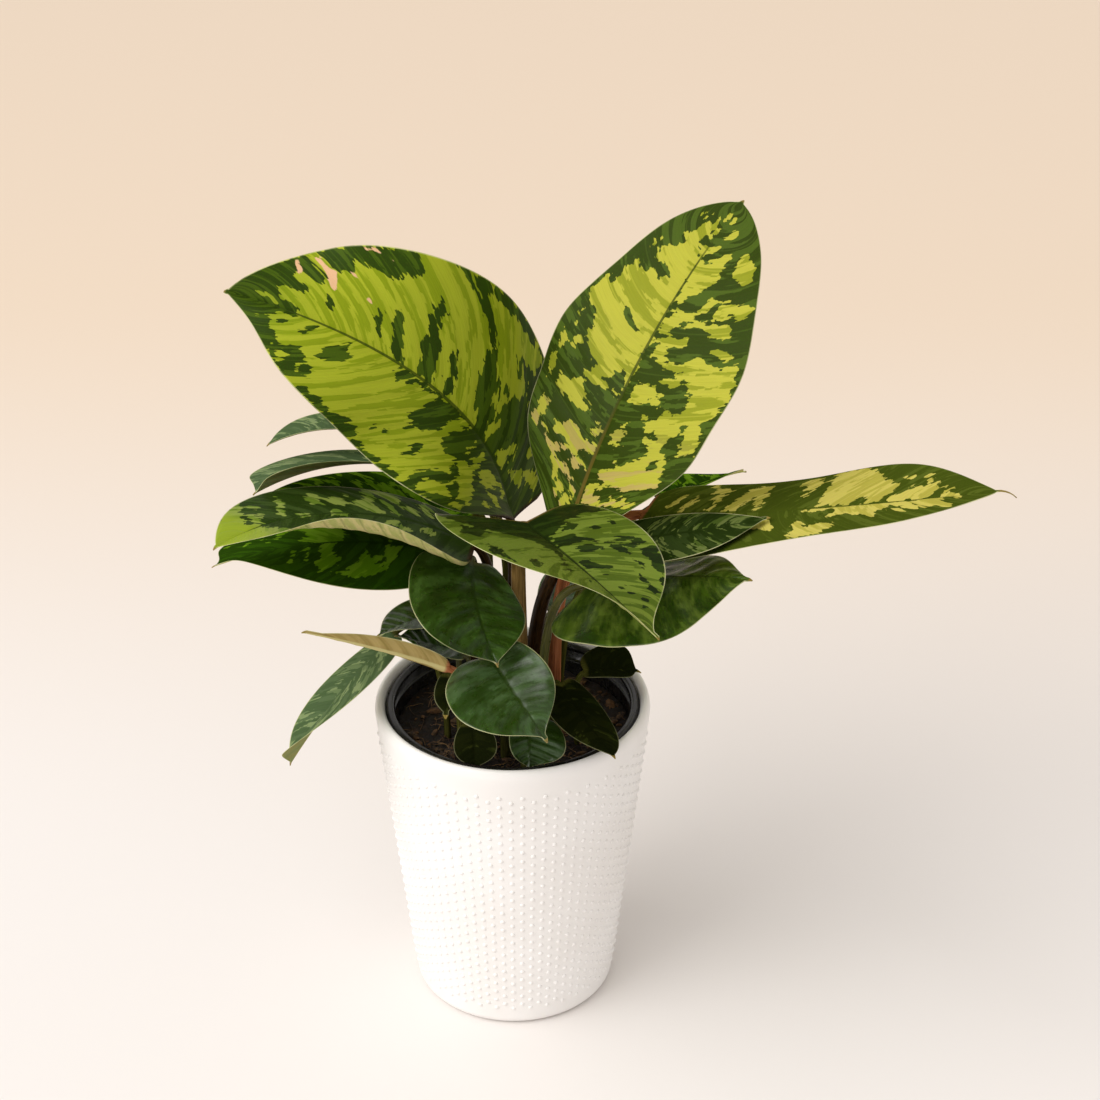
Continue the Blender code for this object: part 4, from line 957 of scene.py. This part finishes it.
class LeafPaint(Paint):
    """The material of one leaf, made from the places and depths that its mesh carries."""

    def __init__(self, leaf):
        super().__init__(leaf.name)
        self.leaf = leaf
        self.soft = leaf.look in GLOSSY
        *codes, self.mottle, self.rough = LOOKS[leaf.look]
        self.dark, self.light, self.dark_two, self.light_two, self.below = map(colour, codes)
        self.seed = float(own_number(leaf, 61))
        self.along = self.fact("along")
        self.across = self.fact("across")
        self.share = self.fact("share")
        self.right = self.math("GREATER_THAN", self.across, 0.0)
        self.flow = self.stretched(1.0, 0.42)
        self.jag = self.blocks()
        self.is_light = self.light_part()
        ribbon = self.noise(self.stretched(1.0, 0.17, 5.0), 2.3, 1.5)
        self.second = self.plus(ribbon, self.times(self.jag, 0.09))
        self.stripes = self.noise(self.stretched(14.0, 0.6), 1.0, 3.0)
        self.veins = self.math("PINGPONG", self.fact("veins"), 0.5)
        rib_width = self.plus(0.03, self.times(self.math("SUBTRACT", 1.0, self.share), 0.10))
        rib_place = self.math("DIVIDE", self.math("ABSOLUTE", self.across), rib_width)
        self.rib = self.step(rib_place, 0.7, 1.15, 1.0, 0.0)

    def stretched(self, along, across, shift=0.0):
        """Places on the blade for a noise that is finer one way than the other."""
        x = self.times(self.along, along)
        return self.vector(x, self.times(self.across, across), self.seed + shift)

    def blocks(self):
        """Small blocks in strips that follow the side veins, each with its own number around 0."""
        strip = self.math("FLOOR", self.times(self.along, 9.0))
        shift = self.cells(self.vector(strip, self.right, self.seed))
        block = self.math("FLOOR", self.plus(self.times(self.across, 3.4), self.times(shift, 9.0)))
        return self.math("SUBTRACT", self.cells(self.vector(strip, block, self.seed + 3.0)), 0.5)

    def light_part(self):
        """1 in the light part of the pattern and 0 in the dark part, with ragged edges."""
        broad = self.math("SUBTRACT", self.noise(self.flow, 1.7, 3.0, 0.55), 0.5)
        if self.leaf.name in MARKINGS:
            speckle = self.math("SUBTRACT", self.noise(self.stretched(1.0, 0.55, 9.0), 3.1, 2.0), 0.5)
            depth = self.plus(self.fact("light"), self.times(self.jag, 0.13))
            depth = self.plus(depth, self.times(broad, 0.30))
            depth = self.plus(depth, self.times(speckle, 0.85))
        else:
            depth = self.plus(self.times(broad, 2.4), self.times(self.jag, 0.25))
            depth = self.plus(depth, self.mottle - 0.12)
        blur = 0.45 if self.soft else 0.012
        return self.step(depth, -blur, blur)

    def pattern(self):
        """The colours of the pattern, with two tones in each of its parts."""
        spread = 0.12 if self.soft else 0.02
        dark = self.mix(self.step(self.second, 0.54 - spread, 0.54 + spread), self.dark, self.dark_two)
        light = self.mix(self.step(self.second, 0.47 - spread, 0.47 + spread), self.light, self.light_two)
        if self.leaf.look == "lemon":
            base = self.mix(self.step(self.share, 0.22, 0.42), colour(LEMON_BASE), self.light)
            light = self.mix(self.step(self.second, 0.45, 0.49), base, self.light_two)
        if self.leaf.look == "forest":
            light = self.mix(self.step(self.share, 0.76, 0.86), light, colour(FOREST_TIP))
        if self.leaf.look == "lime":
            light = self.mix(self.step(self.share, 0.72, 0.95, 0.0, 0.5), light, colour(LIME_TIP))
        return self.mix(self.is_light, dark, light)

    def upper_side(self):
        """The pattern with fine stripes, side veins, the midrib and scars over it."""
        top = self.mix(self.step(self.stripes, 0.3, 0.75, 0.0, 0.10), self.pattern(), colour(STRIPE))
        vein = self.step(self.veins, 0.012, 0.05, 1.0, 0.0)
        vein_tone = self.mix(self.is_light, self.dark_two, self.light_two)
        top = self.mix(self.times(vein, 0.40), top, vein_tone)
        rib_tone = self.dark
        if self.leaf.look == "lemon":
            rib_tone = self.mix(self.step(self.share, 0.15, 0.5), colour(LEMON_RIB), self.dark)
        rib = self.times(self.rib, self.step(self.share, 0.80, 0.93, 0.85, 0.0))
        top = self.mix(rib, top, rib_tone)
        scar = self.plus(self.fact("scar"), self.times(self.jag, 0.08))
        return self.mix(self.step(scar, -0.03, 0.03), top, colour(SCAR))

    def under_side(self):
        """The paler underside, with darker side veins and a pale rib."""
        back = self.mix(self.step(self.second, 0.4, 0.6), self.below, self.light_two)
        back = self.mix(0.45, back, self.below)
        back = self.mix(self.times(self.is_light, 0.25), back, self.light_two)
        vein = self.step(self.veins, 0.02, 0.09, 1.0, 0.0)
        back = self.mix(self.times(vein, 0.35), back, self.dark_two)
        return self.mix(self.rib, back, colour(RIB_BELOW))

    def with_margin(self, skin):
        """The skin with its pale margin, which is worn in places, and the dry tip."""
        # On the low leaves with painted shade the pale margin is dimmed as well, as part of that painted
        # shade
        strength = 0.35 if self.leaf.look == "dusk" else 1.0
        margin = self.step(self.fact("edge"), 0.10, 0.50, strength, 0.0)
        worn = self.noise(self.vector(self.times(self.along, 0.45), self.right, self.seed), 1.0)
        worn = self.step(worn, 0.35, 0.6, 0.25, 0.8)
        skin = self.mix(self.times(margin, worn), skin, colour(MARGIN))
        return self.mix(self.step(self.share, 1.0, 1.01), skin, colour(TAIL))

    def with_stalk(self, skin):
        """The skin of the blade, and the stalk's fibres below it."""
        stem, stem_two = STEMS[self.leaf.stem]
        fibre = self.noise(self.stretched(0.8, 22.0), 1.0, 3.0)
        stalk = self.mix(self.step(fibre, 0.35, 0.65), colour(stem), colour(stem_two))
        return self.mix(self.step(self.fact("blade"), 0.01, 0.12), stalk, skin)


def leaf_material(leaf):
    """Variegated leaf: ragged blocks that follow the side veins, a pale margin and a paler underside."""
    p = LeafPaint(leaf)
    skin = p.mix(p.fact("under"), p.upper_side(), p.under_side())
    skin = p.with_stalk(p.with_margin(skin))
    grain = p.noise(p.place(), 1400.0, 2.0)
    relief = p.plus(p.times(p.stripes, 0.7), p.times(grain, 0.3))
    p.set(Base_Color=skin, Normal=p.bump(relief, 0.00025, 0.55))
    p.set(Roughness=p.step(p.noise(p.flow, 5.0, 2.0), 0.3, 0.7, p.rough - 0.05, p.rough + 0.08))
    p.set(Subsurface_Weight=0.06, Subsurface_Scale=0.0015)
    p.shader.inputs["Subsurface Radius"].default_value = (0.6, 1.0, 0.2)
    p.set(Specular_IOR_Level=SHINE.get(leaf.look, 0.0))
    return p.material


# Pots and soil

def turned(name, profile, steps):
    """A turned form from a profile of (radius, height), down its outer side."""
    mesh = bpy.data.meshes.new(name + "_profile")
    edges = [(i, i + 1) for i in range(len(profile) - 1)]
    mesh.from_pydata([(r, 0.0, z) for r, z in profile], edges, [])
    item = placed(name, mesh)
    screw = item.modifiers.new("Turn", "SCREW")
    screw.steps = steps
    screw.render_steps = steps
    screw.use_merge_vertices = True
    screw.merge_threshold = 0.00002
    graph = bpy.context.evaluated_depsgraph_get()
    shape = bpy.data.meshes.new_from_object(item.evaluated_get(graph))
    item.modifiers.clear()
    item.data = shape
    bpy.data.meshes.remove(mesh)
    shape.shade_smooth()
    return item


def outer_radius(height):
    """Outside of the ceramic pot's straight tapered wall."""
    return POT_BASE_RADIUS + (POT_TOP_RADIUS - POT_BASE_RADIUS) * height / POT_HEIGHT


def inner_radius(height):
    """Inside of the ceramic pot's wall."""
    return outer_radius(height) - POT_WALL


def arc(centre, radius, start, end, count):
    """Points on a circle from one angle in degrees to another."""
    angles = np.radians(np.linspace(start, end, count))
    return [(centre[0] + radius * cos(a), centre[1] + radius * sin(a)) for a in angles]


DOT_COLUMNS = 76
DOT_ROWS = 25
DOT_TOP = 0.1435
DOT_PITCH = 0.0054
DOT_RADIUS = 0.00105
DOT_HEIGHT = 0.00075
DOT_SIDES = 8
DOT_RINGS = ((1.25, -0.12), (1.0, 0.22), (0.70, 0.68))    # shares of a dot's radius and height
WALL_MARGIN = 0.002                                       # from the lip to the plain wall


def add_dot(form, centre, along, up, out):
    """One raised dot: rings that rise to a crown, closed below."""
    rings = []
    for share, lift in DOT_RINGS:
        ring = []
        for k in range(DOT_SIDES):
            a = 2 * pi * k / DOT_SIDES
            spread = DOT_RADIUS * share * (cos(a) * along + sin(a) * up)
            ring.append(form.verts.new(centre + spread + DOT_HEIGHT * lift * out))
        rings.append(ring)
    crown = form.verts.new(centre + DOT_HEIGHT * out)
    for k in range(DOT_SIDES):
        n = (k + 1) % DOT_SIDES
        for low, high in zip(rings, rings[1:]):
            form.faces.new((low[k], low[n], high[n], high[k]))
        form.faces.new((rings[-1][k], rings[-1][n], crown))
    form.faces.new(rings[0][::-1])


def make_ceramic_pot():
    """The white pot, with rows of small raised dots in its glaze."""
    lip = POT_HEIGHT - POT_LIP_ROUND
    crown = (outer_radius(lip) + inner_radius(lip)) / 2
    half = POT_WALL / 2
    top = [(crown - half * cos(a), lip + POT_LIP_ROUND * sin(a)) for a in np.linspace(0, pi, 25)]
    inside = [(0.0, POT_FLOOR), (inner_radius(POT_FLOOR) - POT_FLOOR_ROUND, POT_FLOOR)]
    heights = np.linspace(POT_FLOOR + POT_FLOOR_ROUND, lip - WALL_MARGIN, 20)
    inside += [(inner_radius(z), z) for z in heights]
    heights = np.linspace(lip - WALL_MARGIN, POT_FOOT_ROUND + 0.001, 40)
    wall = [(outer_radius(z), z) for z in heights]
    foot = arc((outer_radius(POT_FOOT_ROUND) - POT_FOOT_ROUND, POT_FOOT_ROUND), POT_FOOT_ROUND, 0, -90, 9)
    pot = turned("ceramic_pot_glazed", inside + top + wall + foot + [(0.0, 0.0)], 192)

    form = bmesh.new()
    form.from_mesh(pot.data)
    slope = np.arctan2(POT_TOP_RADIUS - POT_BASE_RADIUS, POT_HEIGHT)
    for column in range(DOT_COLUMNS):
        angle = 2 * pi * column / DOT_COLUMNS
        out = Vector((cos(angle) * cos(slope), sin(angle) * cos(slope), -sin(slope)))
        along = Vector((-sin(angle), cos(angle), 0.0))
        for row in range(DOT_ROWS):
            z = DOT_TOP - DOT_PITCH * (row + 0.5 * (column % 2))
            centre = Vector((outer_radius(z) * cos(angle), outer_radius(z) * sin(angle), z))
            add_dot(form, centre, along, out.cross(along), out)
    form.to_mesh(pot.data)
    form.free()
    pot.data.shade_smooth()

    p = Paint("white_glaze")
    spot = p.place()
    cloud = p.noise(spot, 18.0, 3.0)
    tone = p.mix(p.step(cloud, 0.35, 0.7), colour("#f1eeeb"), colour("#f6f4f2"))
    speck = p.step(p.noise(spot, 900.0, 2.0), 0.72, 0.8)
    tone = p.mix(p.times(speck, 0.25), tone, colour("#e3dcd4"))
    p.set(Base_Color=tone, Roughness=p.step(p.noise(spot, 60.0, 3.0), 0.3, 0.7, 0.42, 0.55))
    p.set(Normal=p.bump(p.noise(spot, 220.0, 2.0), 0.0002, 0.25))
    p.set(Coat_Weight=0.08, Coat_Roughness=0.25)
    pot.data.materials.append(p.material)
    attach(pot, "root")
    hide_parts("ceramic_pot")


NURSERY_ROLL = 0.0021        # radius of the rolled rim
NURSERY_ROLL_DEPTH = 0.0017  # its middle below the top of the part's own rim
# The inside of the band: depth below the rim's top, and how much wider it is than the band's wall
BAND_INSIDE = ((0.0074, 0.0), (0.0045, 0.0001), (0.0042, 0.0005), (0.0036, 0.0005))


def make_nursery_pot():
    """The black pot: rolled rim, a stepped band with a fine line, thin wall and floor."""
    low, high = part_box("nursery_pot")
    top = high.z
    bottom = low.z
    wall = NURSERY_WALL
    base = NURSERY_BASE_RADIUS
    band = inner_radius(top - NURSERY_BAND) - GAP
    step = band - NURSERY_BAND_STEP
    profile = [(0.0, bottom + wall), (base - wall, bottom + wall)]
    profile += [(step - wall, top - 0.0088), (step - wall + 0.0004, top - 0.0082)]
    profile += [(band - wall + wider, top - depth) for depth, wider in BAND_INSIDE]
    profile += arc((high.x - NURSERY_ROLL, top - NURSERY_ROLL_DEPTH), NURSERY_ROLL, 180, 0, 13)
    profile += [(band, top - NURSERY_BAND), (step, top - 0.0086), (base, bottom + wall)]
    profile += [(base - wall, bottom), (0.0, bottom)]
    pot = turned("nursery_pot_plastic", profile, 160)
    p = Paint("black_plastic")
    spot = p.place()
    tone = p.mix(p.step(p.noise(spot, 90.0, 4.0), 0.4, 0.75), colour("#121212"), colour("#1d1c1b"))
    dust = p.step(p.noise(spot, 500.0, 3.0), 0.62, 0.75)
    tone = p.mix(p.times(dust, 0.18), tone, colour("#4d3d2c"))
    p.set(Base_Color=tone, Roughness=p.step(p.noise(spot, 120.0, 3.0), 0.3, 0.7, 0.16, 0.34))
    p.set(Normal=p.bump(p.noise(spot, 400.0, 2.0), 0.0002, 0.2))
    pot.data.materials.append(p.material)
    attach(pot, "root")
    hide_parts("nursery_pot")


SOIL_RINGS = 64
SOIL_TURNS = 220
SOIL_LOW_RADIUS = 0.0412
CHIPS = 420
FIBRES = 170
FIBRE_POINTS = 7


def soil_height(x, y):
    """Uneven top of the soil: clods and crumbs on a low swell."""
    swell = 0.0016 * noise.noise(Vector((x * 45, y * 45, 3.0)))
    clods = 0.0016 * abs(noise.noise(Vector((x * 210, y * 210, 1.0))))
    crumbs = 0.0009 * noise.noise(Vector((x * 700, y * 700, 7.0)))
    return SOIL_TOP - 0.0012 + swell + clods + crumbs


def make_soil():
    """Dark peat with crumbs, bark chips and fibres."""
    low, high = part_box("soil")
    edge = high.x
    bottom = low.z + 0.001
    circle = [(cos(2 * pi * k / SOIL_TURNS), sin(2 * pi * k / SOIL_TURNS)) for k in range(SOIL_TURNS)]
    form = bmesh.new()
    rows = []
    for i in range(1, SOIL_RINGS + 1):
        places = [(edge * i / SOIL_RINGS * x, edge * i / SOIL_RINGS * y) for x, y in circle]
        rows.append([form.verts.new((x, y, soil_height(x, y))) for x, y in places])
    for height, radius in ((SOIL_TOP - 0.012, edge * 0.99), (bottom, SOIL_LOW_RADIUS)):
        rows.append([form.verts.new((radius * x, radius * y, height)) for x, y in circle])
    middle = form.verts.new((0, 0, soil_height(0, 0)))
    floor = form.verts.new((0, 0, bottom))
    for k in range(SOIL_TURNS):
        n = (k + 1) % SOIL_TURNS
        form.faces.new((middle, rows[0][k], rows[0][n]))
        for inner, outer in zip(rows, rows[1:]):
            form.faces.new((inner[k], outer[k], outer[n], inner[n]))
        form.faces.new((rows[-1][n], rows[-1][k], floor))
    mesh = meshed(form, "soil_peat")
    mesh.shade_smooth()
    soil = placed("soil_peat", mesh)
    p = Paint("peat")
    spot = p.place()
    crumb = p.noise(spot, 420.0, 4.0, 0.7)
    tone = p.mix(p.step(crumb, 0.35, 0.7), colour("#0e0a07"), colour("#2c1e14"))
    red = p.step(p.noise(spot, 150.0, 3.0), 0.55, 0.7)
    tone = p.mix(p.times(red, 0.5), tone, colour("#4a3020"))
    p.set(Base_Color=tone, Roughness=p.step(crumb, 0.3, 0.7, 0.7, 0.95))
    p.set(Normal=p.bump(crumb, 0.0012, 0.9))
    mesh.materials.append(p.material)
    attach(soil, "root")
    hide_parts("soil")
    make_chips(edge)
    make_fibres(edge)


def make_chips(edge):
    """Bark and wood chips that lie on the soil."""
    draw = np.random.default_rng(12)
    form = bmesh.new()
    for _ in range(CHIPS):
        radius = edge * 0.97 * draw.random() ** 0.5
        angle = 2 * pi * draw.random()
        x, y = radius * cos(angle), radius * sin(angle)
        size = 0.0011 + 0.0034 * draw.random() ** 3
        made = bmesh.ops.create_icosphere(form, subdivisions=1, radius=1.0)["verts"]
        turn = draw.random() * pi
        tilt = (draw.random() - 0.5) * 0.9
        width = size * (0.3 + 0.4 * draw.random())
        thickness = size * (0.2 + 0.25 * draw.random())
        middle = Vector((x, y, soil_height(x, y) + thickness * 0.5))
        lie = Matrix.Rotation(turn, 3, "Z") @ Matrix.Rotation(-tilt, 3, "Y")
        for vertex in made:
            sizes = (size, width, thickness)
            rough = Vector([vertex.co[i] * sizes[i] * (0.75 + 0.5 * draw.random()) for i in range(3)])
            vertex.co = middle + lie @ rough
    mesh = meshed(form, "soil_chips")
    chips = placed("soil_chips", mesh)
    p = Paint("bark")
    spot = p.place()
    tone = p.mix(p.step(p.noise(spot, 130.0, 2.0), 0.4, 0.62), colour("#24170e"), colour("#6a4a2c"))
    grain = p.noise(spot, 900.0, 3.0)
    tone = p.mix(p.step(grain, 0.4, 0.7, 0.0, 0.5), tone, colour("#8a6a45"))
    p.set(Base_Color=tone, Roughness=p.step(grain, 0.3, 0.7, 0.7, 0.9))
    p.set(Normal=p.bump(grain, 0.0005, 0.8))
    mesh.materials.append(p.material)
    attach(chips, "root")


def make_fibres(edge):
    """Fine roots and coir fibres on the soil."""
    draw = np.random.default_rng(5)
    curve = bpy.data.curves.new("soil_fibres", "CURVE")
    curve.dimensions = "3D"
    curve.bevel_depth = 0.00013
    curve.bevel_resolution = 1
    for _ in range(FIBRES):
        radius = edge * 0.9 * draw.random() ** 0.5
        angle = 2 * pi * draw.random()
        x, y = radius * cos(angle), radius * sin(angle)
        heading = 2 * pi * draw.random()
        bend = (draw.random() - 0.5) * 0.9
        step = 0.0008 + 0.0016 * draw.random()
        spline = curve.splines.new("POLY")
        spline.points.add(FIBRE_POINTS - 1)
        arch = 0.0016 * draw.random()
        for i in range(FIBRE_POINTS):
            if (x * x + y * y) ** 0.5 > edge * 0.96:
                heading += pi / 2
            z = soil_height(x, y) + 0.0002 + arch * sin(pi * i / (FIBRE_POINTS - 1))
            spline.points[i].co = (x, y, z, 1.0)
            spline.points[i].radius = 0.6 + 0.8 * draw.random()
            x += step * cos(heading)
            y += step * sin(heading)
            heading += bend
    fibres = placed("soil_fibres", curve)
    p = Paint("fibre")
    tone = p.mix(p.step(p.noise(p.place(), 110.0, 2.0), 0.4, 0.6), colour("#4a3220"), colour("#98764d"))
    p.set(Base_Color=tone, Roughness=p.step(p.noise(p.place(), 800.0), 0.3, 0.7, 0.6, 0.85))
    curve.materials.append(p.material)
    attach(fibres, "root")


# Stage

CAMERA_AT = (0.0175, -0.906, 0.738)
CAMERA_PITCH = 29
LENS = 50
SENSOR = 24
DAYLIGHT = (1.0, 0.985, 0.97)
WINDOW_AT = Vector((-1.25, -0.9, 1.35))
WINDOW_AIM = Vector((0, 0, 0.22))
WINDOW_SIZE = 1.1
SUN_WAY = Vector((0.75, 0.45, -1.0))
SUN_SPREAD = radians(65)


def make_floor():
    """A plain pale floor that turns a little warmer towards the back."""
    form = bmesh.new()
    bmesh.ops.create_circle(form, cap_ends=True, radius=6.0, segments=64)
    mesh = meshed(form, "floor")
    floor = placed("floor", mesh)
    p = Paint("floor")
    cloud = p.noise(p.place(), 0.8, 2.0)
    near = p.mix(p.step(cloud, 0.3, 0.7), colour("#eae5e1"), colour("#eeeae7"))
    away = p.node("SeparateXYZ", {0: p.place()}).outputs[1]
    p.set(Base_Color=p.mix(p.step(away, 0.02, 0.9), near, colour("#e9d6c0")), Roughness=0.6)
    mesh.materials.append(p.material)


def make_light():
    """Soft daylight from the front left, and an even pale surround."""
    world = bpy.data.worlds.new("studio")
    world.use_nodes = True
    back = world.node_tree.nodes["Background"]
    back.inputs[0].default_value = (1.0, 0.955, 0.92, 1.0)
    back.inputs[1].default_value = 0.66
    bpy.context.scene.world = world

    window = bpy.data.lights.new("window", "AREA")
    window.size = WINDOW_SIZE
    window.energy = 10
    window.color = DAYLIGHT
    item = placed("window", window)
    item.location = WINDOW_AT
    item.rotation_euler = (WINDOW_AIM - WINDOW_AT).to_track_quat("-Z", "Y").to_euler()

    daylight = bpy.data.lights.new("daylight", "SUN")
    daylight.energy = 1.55
    daylight.angle = SUN_SPREAD
    daylight.color = DAYLIGHT
    sun = placed("daylight", daylight)
    sun.rotation_euler = SUN_WAY.to_track_quat("-Z", "Y").to_euler()


def make_camera():
    """The photograph's camera."""
    data = bpy.data.cameras.new("camera")
    data.lens = LENS
    data.sensor_width = SENSOR
    data.sensor_height = SENSOR
    camera = placed("camera", data)
    camera.location = CAMERA_AT
    camera.rotation_euler = (radians(90 - CAMERA_PITCH), 0.0, 0.0)
    scene = bpy.context.scene
    scene.camera = camera
    scene.view_settings.view_transform = "Standard"


make_floor()
make_light()
make_camera()
make_ceramic_pot()
make_nursery_pot()
make_soil()
for row in LEAVES:
    make_leaf(row)
